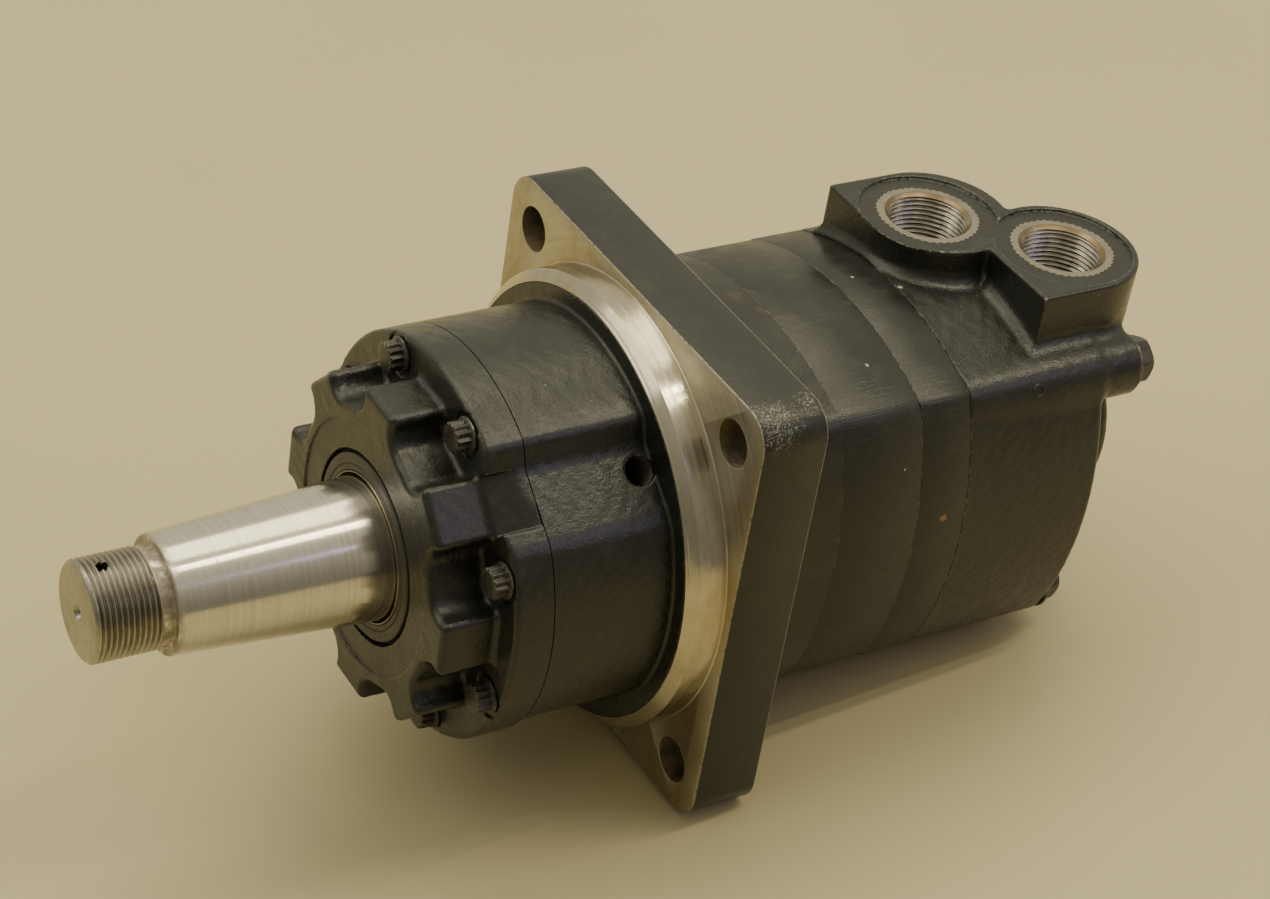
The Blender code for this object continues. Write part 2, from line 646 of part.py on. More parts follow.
LEN = math.hypot(LINK_STAR_X - LINK_PIVOT_X, ECC)
link = drive("drive_link", LINK_PIVOT_X, LINK_STAR_X, [
    (-8.0, tooth(SPLINE_N, 15.6, 18.2)), (0.0, tooth(SPLINE_N, 16.4, 19.0)), (8.0, tooth(SPLINE_N, 15.6, 18.2)),
    (11.0, tooth(SPLINE_N, 13.4, 13.6)), (LEN - 11.0, tooth(SPLINE_N, 13.4, 13.6)),
    (LEN - 8.0, tooth(SPLINE_N, 15.6, 18.2)), (LEN, tooth(SPLINE_N, 16.4, 19.0)), (LEN + 7.5, tooth(SPLINE_N, 15.6, 18.2))],
    "steel")
smooth(link)

VLEN = math.hypot(VALVE_PIVOT_X - VALVE_STAR_X, ECC)
vdrive = drive("valve_drive", VALVE_PIVOT_X, VALVE_STAR_X, [
    (-VLEN - 4.6, tooth(SPLINE_N, 15.4, 18.0)), (-VLEN, tooth(SPLINE_N, 16.2, 18.8)), (-VLEN + 4.6, tooth(SPLINE_N, 15.4, 18.0)),
    (-VLEN + 8.0, tooth(SPLINE_N, 8.4, 8.6)), (-8.0, tooth(SPLINE_N, 8.4, 8.6)),
    (-4.0, tooth(SPLINE_N, 9.2, 11.2)), (0.0, tooth(SPLINE_N, 9.7, 11.7)), (3.6, tooth(SPLINE_N, 9.2, 11.2))],
    "steel")
smooth(vdrive)

# ---------------------------------------------------------------- valve group
slots9 = [circle(3.2, 8, 36.0 * math.cos(TOP + math.pi / 9 + math.tau * k / 9), 36.0 * math.sin(TOP + math.pi / 9 + math.tau * k / 9))
          for k in range(ROLLER_COUNT)]
vp = plate("valve_plate", [rounded_square(0.0), circle(23.5, 32)] + slots9 + corner_holes(BODY_BOLT_R + 0.35, 12),
           RING_REAR_X + GAP, PLATE_REAR_X - GAP, "paint", tint=0.1)
boolean(vp, ring("plate_front_groove", RING_REAR_X - 1.0, RING_REAR_X + 1.8, 61.2, 64.2, "steel", N_SEAL, cutters))
boolean(vp, ring("plate_rear_groove", PLATE_REAR_X - 1.8, PLATE_REAR_X + 1.0, 61.2, 64.2, "steel", N_SEAL, cutters))
tidy(vp)


def section_seal(name, x_mid, r_mid, half_x, half_r):
    smooth(turned(name, [(x_mid + half_x, r_mid - half_r * 0.5), (x_mid + half_x, r_mid + half_r * 0.5),
                         (x_mid - half_x, r_mid + half_r * 0.5), (x_mid - half_x, r_mid - half_r * 0.5)],
                  "rubber", N_SEAL, solid=False))


section_seal("housing_seal", HOUSING_REAR_X - 0.95, 63.1, 0.55, 1.1)
section_seal("geroler_seal", RING_REAR_X + 0.95, 62.7, 0.55, 1.1)
section_seal("valve_seal", PLATE_REAR_X - 0.95, 62.7, 0.55, 1.1)

dv = plate("disc_valve", [circle(42.0, 32), splined(SPLINE_N, 10.2, 12.4)] + [
    circle(3.2, 8, 36.0 * math.cos(TOP + math.tau * k / 8), 36.0 * math.sin(TOP + math.tau * k / 8)) for k in range(8)],
    PLATE_REAR_X + 0.3, 133.2, "bearing")
smooth(dv)
smooth(ring("balance_ring", 133.6, 142.6, 28.0, 42.4, "bronze"))
smooth(ring("balance_spring", 143.0, 144.6, 33.0, 38.0, "steel"))

# ---------------------------------------------------------------- valve housing with the ports
vh = plate("valve_housing", [rounded_square(0.0)], PLATE_REAR_X + GAP, BODY_REAR_X, "paint")


def port_block(name, cx, cy, corner_y, foot):
    """Round pad with one square corner, standing on the stack; seen from above."""
    r = PORT_PAD_R
    a0 = math.pi / 2 if corner_y > 0 else -math.pi
    pts = []
    steps = 20
    for i in range(steps + 1):
        if corner_y > 0:
            t = math.pi / 2 - math.radians(270.0) * i / steps
        else:
            t = -math.pi / 2 + math.radians(270.0) * i / steps
        pts.append((cx + r * math.cos(t), cy + r * math.sin(t)))
    pts.append((cx - r, cy + r * corner_y))
    bm = bmesh.new()
    low = [bm.verts.new((x * MM, y * MM, foot * MM)) for x, y in pts]
    high = [bm.verts.new((x * MM, y * MM, PORT_RIM_Z * MM)) for x, y in pts]
    n = len(pts)
    for i in range(n):
        bm.faces.new((low[i], low[(i + 1) % n], high[(i + 1) % n], high[i]))
    bm.faces.new(low)
    bm.faces.new(high)
    bmesh.ops.recalc_face_normals(bm, faces=bm.faces)
    mesh = bpy.data.meshes.new(name)
    bm.to_mesh(mesh)
    bm.free()
    return put(name, mesh, "steel", cutters)


pad_a = port_block("port_a_pad", PORT_A[0] + 3.4, PORT_A[1], 1, 40.0)
pad_b = port_block("port_b_pad", PORT_B[0], PORT_B[1], -1, 58.0)
boolean(vh, pad_a, "UNION")
boolean(vh, pad_b, "UNION")
boolean(vh, rod("port_b_column", (PORT_B[0], -13.0, 42.0), (0, 0, 1), 24.0, 60.0, 24), "UNION")
boolean(vh, turned("rear_hump", [(HUMP_X, 0.0), (HUMP_X, HUMP_R - 4.0), (HUMP_X - 4.0, HUMP_R), (170.0, HUMP_R), (170.0, 0.0)],
                   steps=40, where=cutters), "UNION")
for sy in (-1, 1):
    boolean(vh, rod("upper_boss_%d" % (sy + 2), (0.5 * (160.0 + UPPER_BOSS_X), sy * BODY_BOLT_C, BODY_BOLT_C), (1, 0, 0),
                    BOSS_R, UPPER_BOSS_X - 160.0, 24), "UNION")
# room for the bolt's head under the overhanging pad
boolean(vh, rod("upper_bolt_room", (UPPER_BOSS_X + 10.0, -BODY_BOLT_C, BODY_BOLT_C), (1, 0, 0), 13.3, 20.0, 24))
boolean(vh, turned("valve_cavity", [(196.0, 0.0), (196.0, 14.0), (CAVITY_REAR_X, 14.0), (CAVITY_REAR_X, CAVITY_R), (100.0, CAVITY_R),
                                    (100.0, 0.0)], where=cutters))
boolean(vh, rods("valve_housing_bolt_holes", [
    ((160.0, sy * BODY_BOLT_C, sz * BODY_BOLT_C), (1, 0, 0), BODY_BOLT_R + 0.5, 110.0) for sy in (-1, 1) for sz in (-1, 1)], 12))
for tag, (px, py) in (("a", PORT_A), ("b", PORT_B)):
    boolean(vh, rod("port_%s_spotface" % tag, (px, py, PORT_TOP_Z + 5.0), (0, 0, 1), PORT_SPOT_R, 10.0, 40))
boolean(vh, rod("port_a_bore", (PORT_A[0], PORT_A[1], PORT_TOP_Z - PORT_DEPTH / 2 + 5), (0, 0, 1), PORT_R, PORT_DEPTH + 10.0, 24))
boolean(vh, rod("port_b_bore", (PORT_B[0], PORT_B[1], PORT_TOP_Z - PORT_DEPTH / 2 + 5), (0, 0, 1), PORT_R, PORT_DEPTH + 10.0, 24))
boolean(vh, rod("port_a_passage", (PORT_A[0] - 9.0, PORT_A[1], 52.0), (0, 0, 1), 7.0, 30.0, 14))
boolean(vh, rod("port_b_passage", (PORT_B[0], PORT_B[1] + 2.0, 35.0), (0, 0, 1), 8.0, 64.0, 14))
tidy(vh)

# ---------------------------------------------------------------- through bolts of the stack
for k, (sy, sz) in enumerate(((-1, 1), (1, 1), (1, -1), (-1, -1))):
    seat = UPPER_BOSS_X if sz > 0 else BODY_REAR_X
    flanged_bolt("body_bolt_%d" % (k + 1), sy * BODY_BOLT_C, sz * BODY_BOLT_C, seat, 28.0, BODY_BOLT_R, 11.4, 3.0, 9.6, 9.4, 1)
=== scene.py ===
import json
import math

import bmesh
import bpy
import numpy as np
from mathutils import Matrix, Vector


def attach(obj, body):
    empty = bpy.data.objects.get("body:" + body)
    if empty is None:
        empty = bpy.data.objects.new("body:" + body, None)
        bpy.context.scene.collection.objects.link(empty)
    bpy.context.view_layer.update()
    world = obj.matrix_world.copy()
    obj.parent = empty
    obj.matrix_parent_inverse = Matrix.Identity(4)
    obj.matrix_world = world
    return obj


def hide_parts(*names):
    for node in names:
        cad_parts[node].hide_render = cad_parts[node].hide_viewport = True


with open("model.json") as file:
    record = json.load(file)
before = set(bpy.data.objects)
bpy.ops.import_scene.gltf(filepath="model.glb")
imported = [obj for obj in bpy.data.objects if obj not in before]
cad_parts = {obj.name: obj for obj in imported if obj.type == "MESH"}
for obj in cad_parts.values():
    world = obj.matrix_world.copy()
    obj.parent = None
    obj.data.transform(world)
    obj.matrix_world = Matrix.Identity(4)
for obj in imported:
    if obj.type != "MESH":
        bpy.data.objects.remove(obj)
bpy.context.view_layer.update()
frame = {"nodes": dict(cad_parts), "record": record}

MM = 0.001
TAU = math.tau

# ------------------------------------------------------------------ dimensions shared by several pieces, mm
FLANGE_HALF, FLANGE_T, FLANGE_CORNER_R = 92.5, 27.4, 13.0
HOLE_C, FLANGE_HOLE_R = 209.55 / 2 / math.sqrt(2), 8.85
PILOT_R, PILOT_CHAMFER_R, PILOT_CHAMFER_X, PILOT_FRONT_X = 88.8, 84.8, -11.5, -15.0
DRAIN_X, DRAIN_R = -20.8, 5.7
HOUSING_R, SEAM_X, RING_X, LOBE_X = 77.4, -64.3, -80.0, -102.0
SIDE_R, SIDE_FLAT = 140.0, 74.4
X1, X2, X3, X4 = 58.0, 94.0, 116.5, 181.0
BOLT_C = 52.0
PORT_A, PORT_B = (145.7, 18.7), (184.3, -18.7)
PORT_Z, RIM_Z, SPOT_R, PAD_R = 87.0, 88.2, 27.6, 30.4
CUP_R = 48.0
SHAFT_END, THREAD_R, PITCH = -211.7, 19.05, 25.4 / 12
GAP, FINE_GAP = 0.12, 0.03


# ------------------------------------------------------------------ meshes from arrays
def mesh_object(name, verts, faces, smooth=True, sharp=None):
    """Object from an (n, 3) array in millimetres and a list or array of polygons."""
    me = bpy.data.meshes.new(name)
    if isinstance(faces, np.ndarray):
        n = len(faces)
        me.vertices.add(len(verts))
        me.vertices.foreach_set("co", (np.asarray(verts, np.float32) * MM).ravel())
        me.loops.add(n * 4)
        me.loops.foreach_set("vertex_index", faces.astype(np.int32).ravel())
        me.polygons.add(n)
        me.polygons.foreach_set("loop_start", np.arange(0, n * 4, 4, dtype=np.int32))
        me.update(calc_edges=True)
    else:
        me.from_pydata([tuple(float(c) * MM for c in v) for v in verts], [], [list(map(int, f)) for f in faces])
        me.update()
    me.validate()
    if smooth:
        me.shade_smooth()
        if sharp:
            me.set_sharp_from_angle(angle=math.radians(sharp))
    ob = bpy.data.objects.new(name, me)
    bpy.context.scene.collection.objects.link(ob)
    return ob


def rows_solid(rows, closed=False, caps=True):
    """Vertices and faces of a skin over rows of equal length, each row a closed loop.
    closed joins the last row to the first; caps closes the two end rows."""
    n = len(rows[0])
    verts = np.concatenate([np.asarray(r, float) for r in rows])
    faces = []
    m = len(rows)
    for i in range(m if closed else m - 1):
        a, b = i * n, ((i + 1) % m) * n
        for j in range(n):
            k = (j + 1) % n
            faces.append((a + j, a + k, b + k, b + j))
    if not closed and caps:
        faces.append(tuple(range(n))[::-1])
        faces.append(tuple(range((m - 1) * n, m * n)))
    return verts, faces


def fix_normals(ob):
    bm = bmesh.new()
    bm.from_mesh(ob.data)
    bmesh.ops.recalc_face_normals(bm, faces=bm.faces)
    bm.to_mesh(ob.data)
    bm.free()


def lathe(name, profile, n=192, closed=True, radius=None, sharp=28, axis="x", centre=(0.0, 0.0, 0.0)):
    """Turned piece from (x, r) points. closed joins the profile's ends; an open one ends on the axis.
    radius(x, theta, r) may change each point's radius."""
    t = np.linspace(0, TAU, n, endpoint=False)
    rows = []
    for x, r in profile:
        rr = np.full(n, float(r)) if radius is None else radius(x, t, r)
        rows.append(np.stack([np.full(n, float(x)), rr * np.cos(t), rr * np.sin(t)], 1))
    verts, faces = rows_solid(rows, closed=closed)
    if axis == "z":
        verts = np.stack([verts[:, 1], verts[:, 2], verts[:, 0]], 1)
    verts = verts + np.asarray(centre, float)
    ob = mesh_object(name, verts, faces, sharp=sharp)
    fix_normals(ob)
    ob.data.shade_smooth()
    ob.data.set_sharp_from_angle(angle=math.radians(sharp))
    return ob


def rounded(points, radii, steps=5, closed=True):
    """Polygon with its corners rounded; radii is one number or a list, 0 keeps a corner."""
    pts = [Vector((p[0], p[1])) for p in points]
    n = len(pts)
    out = []
    for i, p in enumerate(pts):
        r = radii[i] if isinstance(radii, (list, tuple)) else radii
        if r <= 0 or (not closed and i in (0, n - 1)):
            out.append((p.x, p.y))
            continue
        a, b = pts[i - 1] - p, pts[(i + 1) % n] - p
        la, lb = a.length, b.length
        a.normalize()
        b.normalize()
        ang = math.acos(max(-1, min(1, a.dot(b))))
        if ang > math.pi - 0.02:
            out.append((p.x, p.y))
            continue
        d = min(r / math.tan(ang / 2), 0.48 * la, 0.48 * lb)
        rr = d * math.tan(ang / 2)
        c = p + (a + b).normalized() * (rr / math.sin(ang / 2))
        s, e = p + a * d - c, p + b * d - c
        a0 = math.atan2(s.y, s.x)
        da = (math.atan2(e.y, e.x) - a0 + math.pi) % TAU - math.pi
        for k in range(steps + 1):
            t = a0 + da * k / steps
            out.append((c.x + rr * math.cos(t), c.y + rr * math.sin(t)))
    return out


def boolean(ob, cutter, op="DIFFERENCE"):
    m = ob.modifiers.new("cut", "BOOLEAN")
    m.operation, m.solver, m.object = op, "EXACT", cutter
    bpy.context.view_layer.update()
    dg = bpy.context.evaluated_depsgraph_get()
    me = bpy.data.meshes.new_from_object(ob.evaluated_get(dg))
    ob.modifiers.clear()
    old = ob.data
    ob.data = me
    bpy.data.meshes.remove(old)
    bpy.data.objects.remove(cutter, do_unlink=True)
    return ob


def plate(name, outlines, x0, x1, chamfer=0.0):
    """Extrusion along X of closed (y, z) outlines, the first outside and the rest holes."""
    cu = bpy.data.curves.new(name, "CURVE")
    cu.dimensions, cu.fill_mode, cu.extrude = "2D", "BOTH", (0.5 * (x1 - x0) - chamfer) * MM
    if chamfer:
        cu.bevel_depth, cu.bevel_resolution, cu.offset = chamfer * MM, 1, -chamfer * MM
    for pts in outlines:
        sp = cu.splines.new("POLY")
        sp.points.add(len(pts) - 1)
        for p, (y, z) in zip(sp.points, pts):
            p.co = (-z * MM, y * MM, 0.0, 1.0)
        sp.use_cyclic_u = True
    tmp = bpy.data.objects.new(name + "_c", cu)
    bpy.context.scene.collection.objects.link(tmp)
    bpy.context.view_layer.update()
    me = bpy.data.meshes.new_from_object(tmp.evaluated_get(bpy.context.evaluated_depsgraph_get()))
    me.transform(Matrix.Translation((0.5 * (x0 + x1) * MM, 0, 0)) @ Matrix.Rotation(math.pi / 2, 4, "Y"))
    bpy.data.objects.remove(tmp, do_unlink=True)
    bm = bmesh.new()
    bm.from_mesh(me)
    bmesh.ops.remove_doubles(bm, verts=bm.verts, dist=0.000002)
    bmesh.ops.recalc_face_normals(bm, faces=bm.faces)
    bm.to_mesh(me)
    bm.free()
    me.shade_smooth()
    me.set_sharp_from_angle(angle=math.radians(30))
    ob = bpy.data.objects.new(name, me)
    bpy.context.scene.collection.objects.link(ob)
    return ob


def circle(r, n, cy=0.0, cz=0.0):
    return [(cy + r * math.cos(TAU * i / n), cz + r * math.sin(TAU * i / n)) for i in range(n)]


# ------------------------------------------------------------------ cast shapes as distance fields, skinned by surface nets
def f_min(a, b, r=0.0):
    """Union; r is the fillet's radius."""
    if r <= 0:
        return np.minimum(a, b)
    u, v = np.maximum(r - a, 0), np.maximum(r - b, 0)
    return np.maximum(r, np.minimum(a, b)) - np.sqrt(u * u + v * v)


def f_max(a, b, r=0.0):
    """Intersection; r rounds the edge."""
    return -f_min(-a, -b, r)


def grow_skin(name, f, lo, hi, h, sharp=None):
    """Skin of f < 0 inside a box: naive surface nets on a grid of pitch h, then each vertex is
    brought onto the surface along the field's slope."""
    lo = np.asarray(lo, float) - 2.3 * h
    n = np.ceil((np.asarray(hi, float) + 2.3 * h - lo) / h).astype(int) + 1
    ax = [(lo[i] + h * np.arange(n[i])).astype(np.float32) for i in range(3)]
    F = np.empty(n, np.float32)
    for i in range(0, n[0], 12):
        F[i:i + 12] = f(ax[0][i:i + 12, None, None], ax[1][None, :, None], ax[2][None, None, :])
    s = F < 0
    c = np.zeros(n - 1, np.int8)
    cor = [(i, j, k) for i in (0, 1) for j in (0, 1) for k in (0, 1)]
    for i, j, k in cor:
        c += s[i:n[0] - 1 + i, j:n[1] - 1 + j, k:n[2] - 1 + k]
    act = (c > 0) & (c < 8)
    ids = np.argwhere(act)
    idx = np.full(act.shape, -1, np.int64)
    idx[act] = np.arange(len(ids))
    val = {q: F[ids[:, 0] + q[0], ids[:, 1] + q[1], ids[:, 2] + q[2]] for q in cor}
    acc, cnt = np.zeros((len(ids), 3)), np.zeros(len(ids))
    for a in cor:
        for d in range(3):
            if a[d] == 0:
                b = tuple(a[e] + (1 if e == d else 0) for e in range(3))
                va, vb = val[a], val[b]
                m = (va < 0) != (vb < 0)
                t = va[m] / (va[m] - vb[m])
                p = np.tile(np.array(a, float), (m.sum(), 1))
                p[:, d] += t
                acc[m] += p
                cnt[m] += 1
    P = lo + h * (ids + acc / cnt[:, None])
    quads = []
    for d in range(3):
        e, g = [(1, 2), (2, 0), (0, 1)][d]
        sl0, sl1 = [slice(1, -1)] * 3, [slice(1, -1)] * 3
        sl0[d], sl1[d] = slice(0, -1), slice(1, None)
        a, b = s[tuple(sl0)], s[tuple(sl1)]
        cut = np.argwhere(a != b)
        out = a[a != b]
        base = cut.copy()
        base[:, e] += 1
        base[:, g] += 1
        four = []
        for de, dg in ((-1, -1), (0, -1), (0, 0), (-1, 0)):
            q = base.copy()
            q[:, e] += de
            q[:, g] += dg
            four.append(idx[q[:, 0], q[:, 1], q[:, 2]])
        q4 = np.stack(four, 1)
        q4[~out] = q4[~out][:, ::-1]
        quads.append(q4)
    quads = np.concatenate(quads)

    def field(p):
        return f(p[:, 0].astype(np.float64), p[:, 1].astype(np.float64), p[:, 2].astype(np.float64))

    start = P.copy()
    for _ in range(3):
        v = field(P)
        g = np.stack([(field(P + d) - field(P - d)) / 0.1 for d in 0.05 * np.eye(3)], 1)
        step = (v / np.maximum((g * g).sum(1), 0.2))[:, None] * g
        ln = np.linalg.norm(step, axis=1, keepdims=True)
        P -= step * np.minimum(1.0, 0.5 * h / np.maximum(ln, 1e-9))
    off = P - start
    ln = np.linalg.norm(off, axis=1, keepdims=True)
    P = start + off * np.minimum(1.0, 0.9 * h / np.maximum(ln, 1e-9))
    return mesh_object(name, P, quads, sharp=sharp)


def crisp_end(ob, end, side, h):
    """Brings the net's blunted corner onto the true edge between the plane x = end and the side surface."""
    h = h
    me = ob.data
    co = np.empty(len(me.vertices) * 3, np.float32)
    me.vertices.foreach_get("co", co)
    p = co.reshape(-1, 3).astype(np.float64) / MM
    near = np.abs(p[:, 0] - end) < 0.75 * h
    q = p[near]
    near[near] = np.abs(side(q[:, 0], q[:, 1], q[:, 2])) < 0.75 * h
    q = p[near]
    q[:, 0] = end
    for _ in range(3):
        v = side(q[:, 0], q[:, 1], q[:, 2])
        gy = (side(q[:, 0], q[:, 1] + 0.05, q[:, 2]) - side(q[:, 0], q[:, 1] - 0.05, q[:, 2])) / 0.1
        gz = (side(q[:, 0], q[:, 1], q[:, 2] + 0.05) - side(q[:, 0], q[:, 1], q[:, 2] - 0.05)) / 0.1
        k = v / np.maximum(gy * gy + gz * gz, 0.2)
        q[:, 1] -= k * gy
        q[:, 2] -= k * gz
    p[near] = q
    me.vertices.foreach_set("co", (p * MM).astype(np.float32).ravel())
    me.update()
    bm = bmesh.new()
    bm.from_mesh(me)
    bm.verts.ensure_lookup_table()
    bmesh.ops.remove_doubles(bm, verts=[bm.verts[int(i)] for i in np.nonzero(near)[0]], dist=0.06 * MM)
    bm.to_mesh(me)
    bm.free()
    me.shade_smooth()
    me.set_sharp_from_angle(angle=math.radians(55))


def section(y, z, r=11.0):
    """Rounded-square section of the stack: bowed sides and round corners."""
    off = SIDE_R - SIDE_FLAT
    b, k = 2 * off, off * off - (SIDE_R - r) ** 2
    c = (-b + math.sqrt(b * b - 8 * k)) / 4
    p, q = np.abs(y), np.abs(z)
    A, B = np.maximum(p, q), np.minimum(p, q)
    side = np.sqrt((A + off) ** 2 + B ** 2) - SIDE_R
    corner = np.sqrt((A - c) ** 2 + (B - c) ** 2) - r
    use = ((B - c) * (c + off) > (A - c) * c) & (A > c)
    return np.where(use, corner, side)


def section_outline(r=11.0, shrink=0.0, n_side=36, n_corner=12):
    """The same section as a polygon, corner by corner."""
    off = SIDE_R - SIDE_FLAT
    b, k = 2 * off, off * off - (SIDE_R - r) ** 2
    c = (-b + math.sqrt(b * b - 8 * k)) / 4
    lim = math.atan2(c, c + off)
    pts = []
    for q in range(4):
        one = []
        for i in range(n_side):
            t = -lim + 2 * lim * i / n_side
            one.append(((SIDE_R - shrink) * math.cos(t) - off, (SIDE_R - shrink) * math.sin(t)))
        for i in range(n_corner):
            t = lim + (math.pi / 2 - 2 * lim) * i / n_corner
            one.append((c + (r - shrink) * math.cos(t), c + (r - shrink) * math.sin(t)))
        ca, sa = math.cos(q * math.pi / 2), math.sin(q * math.pi / 2)
        pts += [(y * ca - z * sa, y * sa + z * ca) for y, z in one]
    return pts


def bolt_holes(x, y, z, r):
    return np.sqrt((np.abs(y) - BOLT_C) ** 2 + (np.abs(z) - BOLT_C) ** 2) - r


def polar(y, z):
    return np.sqrt(y * y + z * z)


S2 = math.sqrt(0.5)


def valley_uv(y, z):
    """u points out along the 45 degree direction between -Y and +Z; v lies across it, upwards."""
    return (-y + z) * S2, (y + z) * S2


def half_plane(u, v, p, q):
    """Distance above the line from p to q, each (u, v), positive towards larger u."""
    du, dv = q[0] - p[0], q[1] - p[1]
    ln = math.hypot(du, dv)
    nu, nv = dv / ln, -du / ln
    if nu < 0:
        nu, nv = -nu, -nv
    return (u - p[0]) * nu + (v - p[1]) * nv


def valley(y, z, fillet=1.6):
    """Surface of the shallow V beside the drain port: a short upper wall and a long rising floor."""
    u, v = valley_uv(y, z)
    wall = half_plane(u, v, (75.4, 18.9), (70.8, 9.5))
    floor = half_plane(u, v, (70.8, 9.5), (74.9, -18.9))
    return f_min(wall, floor, fillet)


# ------------------------------------------------------------------ front housing
def cast_wave(x, y, z):
    """Slow unevenness of a sand-cast surface, always inwards."""
    w = 0.045 * np.sin(0.61 * x + 1.7 * np.sin(0.23 * z + 0.4)) * np.sin(0.53 * y + 1.4 * np.sin(0.29 * x))
    w = w + 0.04 * np.sin(0.97 * z + 1.1 * np.sin(0.41 * y)) * np.sin(0.83 * x + 0.9 * np.sin(0.37 * y + 1.0))
    return w + 0.08


def barrel_field(x, y, z):
    r = polar(y, z)
    ud, vd = valley_uv(y, z)
    d = f_max(r - HOUSING_R, valley(y, z), 1.6)
    d = f_max(d, (-y - z) * S2 - 75.4, 1.5) + cast_wave(x, y, z)
    # flat painted face between the barrel and the pilot
    face = f_max(r - 84.25, PILOT_FRONT_X - x, 0.25)
    d = f_min(d, face, 1.1)
    d = f_max(d, x - (PILOT_FRONT_X + 2.55), 0.0)
    d = f_max(d, -(x + 64.15), 0.1)
    d = f_max(d, -(r - 48.15), 0.0)
    rho = np.sqrt((x - DRAIN_X) ** 2 + vd ** 2)
    hole = f_max(rho - np.where(ud > 70.4, DRAIN_R + 0.05, DRAIN_R + 1.0), -ud, 0)
    d = f_max(d, -hole, 0.3)
    for k in range(8):
        a = math.radians(22.5 + 45 * k)
        tap = np.sqrt((y - 69 * math.cos(a)) ** 2 + (z - 69 * math.sin(a)) ** 2) - 4.3
        d = np.maximum(d, -np.maximum(tap, x + 46.0))
    return d


barrel = grow_skin("housing_barrel", barrel_field, (-64.2, -85, -85), (-12.4, 85, 85), 0.75)


def barrel_side(x, y, z):
    d = f_max(polar(y, z) - HOUSING_R, valley(y, z), 1.6)
    return f_max(d, (-y - z) * S2 - 75.4, 1.5) + cast_wave(x, y, z)


crisp_end(barrel, -64.15, barrel_side, 0.75)

BACK = PILOT_FRONT_X + 2.55
pilot = lathe("housing_pilot", rounded([
    (0.05, 60.4), (0.05, 89.4), (0.0, 89.3), (-0.08, 89.08), (-0.22, 88.93), (-0.55, PILOT_R), (PILOT_CHAMFER_X, PILOT_R), (-14.0, 85.94),
    (-14.16, 85.62), (-14.42, 85.46), (PILOT_FRONT_X, PILOT_CHAMFER_R), (PILOT_FRONT_X, 84.3), (BACK, 84.3), (BACK, 60.4)],
    [0, 0, 0, 0, 0, 0, 0.3, 0.06, 0.05, 0.05, 0.15, 0, 0, 0], steps=3), n=288)


def flange_outline(shrink=0.0, n=14):
    pts = []
    h, r = FLANGE_HALF, FLANGE_CORNER_R
    for q, (sy, sz) in enumerate(((1, 1), (-1, 1), (-1, -1), (1, -1))):
        for i in range(n + 1):
            a = q * math.pi / 2 + math.pi / 2 * i / n
            pts.append((sy * (h - r) + (r - shrink) * math.cos(a), sz * (h - r) + (r - shrink) * math.sin(a)))
    return pts


flange = plate("housing_flange", [flange_outline(), circle(60.4, 96)] + [
    circle(FLANGE_HOLE_R, 56, sy * HOLE_C, sz * HOLE_C) for sy in (-1, 1) for sz in (-1, 1)], 0.05, FLANGE_T, chamfer=0.55)


def rear_field(x, y, z):
    d = section(y, z)
    base = f_max(x - FLANGE_T - 0.5, d - 1.2, 0.0)
    d = f_min(d, base, 3.0)
    d = f_max(d, x - (X1 - FINE_GAP), 0.15)
    d = np.maximum(d, FLANGE_T + 0.05 - x)
    d = np.maximum(d, -(polar(y, z) - np.where(x > 48.0, 60.4, 48.15)))
    return np.maximum(d, -bolt_holes(x, y, z, 7.35))


housing_rear = grow_skin("housing_rear", rear_field, (27.4, -80, -80), (58, 80, 80), 0.9)
crisp_end(housing_rear, X1 - FINE_GAP, lambda x, y, z: section(y, z), 0.9)


# ------------------------------------------------------------------ front retainer
def retainer_field(x, y, z):
    r = polar(y, z)
    th = np.arctan2(z, y)
    # folded to one pocket (at 22.5 degrees) and to one lobe (at 0 degrees)
    step = math.pi / 4
    dp = (th - step / 2 + step / 2) % step - step / 2
    dl = (th + step / 2) % step - step / 2
    up, vp = r * np.cos(dp), np.abs(r * np.sin(dp))
    ul = r * np.cos(dl)
    wall = (vp - 11.7 - (up - 54.5) * 0.20) * 0.98
    pocket = f_max(54.4 - up, wall, 6.0)
    lobes = f_max(r - 66.4, ul - 64.8, 0.0)
    lobes = f_max(lobes, -(x - LOBE_X), 2.9)
    lobes = f_max(lobes, -pocket, 3.0)
    ring = f_max(r - HOUSING_R, -(x - RING_X), 2.2)
    seat = np.sqrt((up - 69.0) ** 2 + vp ** 2) - 8.4
    ring = f_max(ring, -f_max(seat, x - (RING_X + 0.9), 0.0), 0.5)
    d = f_min(ring, lobes, 2.4)
    # the lobe beside the drain port runs back as a flat ramp, and the valley carries on over the ring
    u, v = valley_uv(y, z)
    ramp = (u - 66.9 - (x - RING_X) * 0.40) * 0.93
    ramp = np.where(u > 0, ramp, -50.0)
    low = np.where(u > 0, valley(y, z), -50.0)
    d = f_max(d, low, 1.3)
    band = np.where(u > 0, f_min(ramp, -f_max(v - 10.2, -(v + 11.4), 0.0), 0.8), -50.0)
    d = f_max(d, np.where(x > RING_X - 3.0, band, -50.0), 0.9)
    d = f_max(d + cast_wave(x + 31.0, y, z), x - (SEAM_X - 0.26), 0.1)
    d = np.maximum(d, LOBE_X + 0.03 - x)
    recess = f_max(r - 49.0, x - (LOBE_X + 0.8), 0.0)
    d = np.maximum(d, -recess)
    bore = np.where(x < -80.2, 37.3, np.where(x < -76.4, 30.6, 44.5))
    d = np.maximum(d, -(r - bore))
    screw = np.sqrt((up - 69.0) ** 2 + vp ** 2) - 4.3
    return np.maximum(d, -screw)


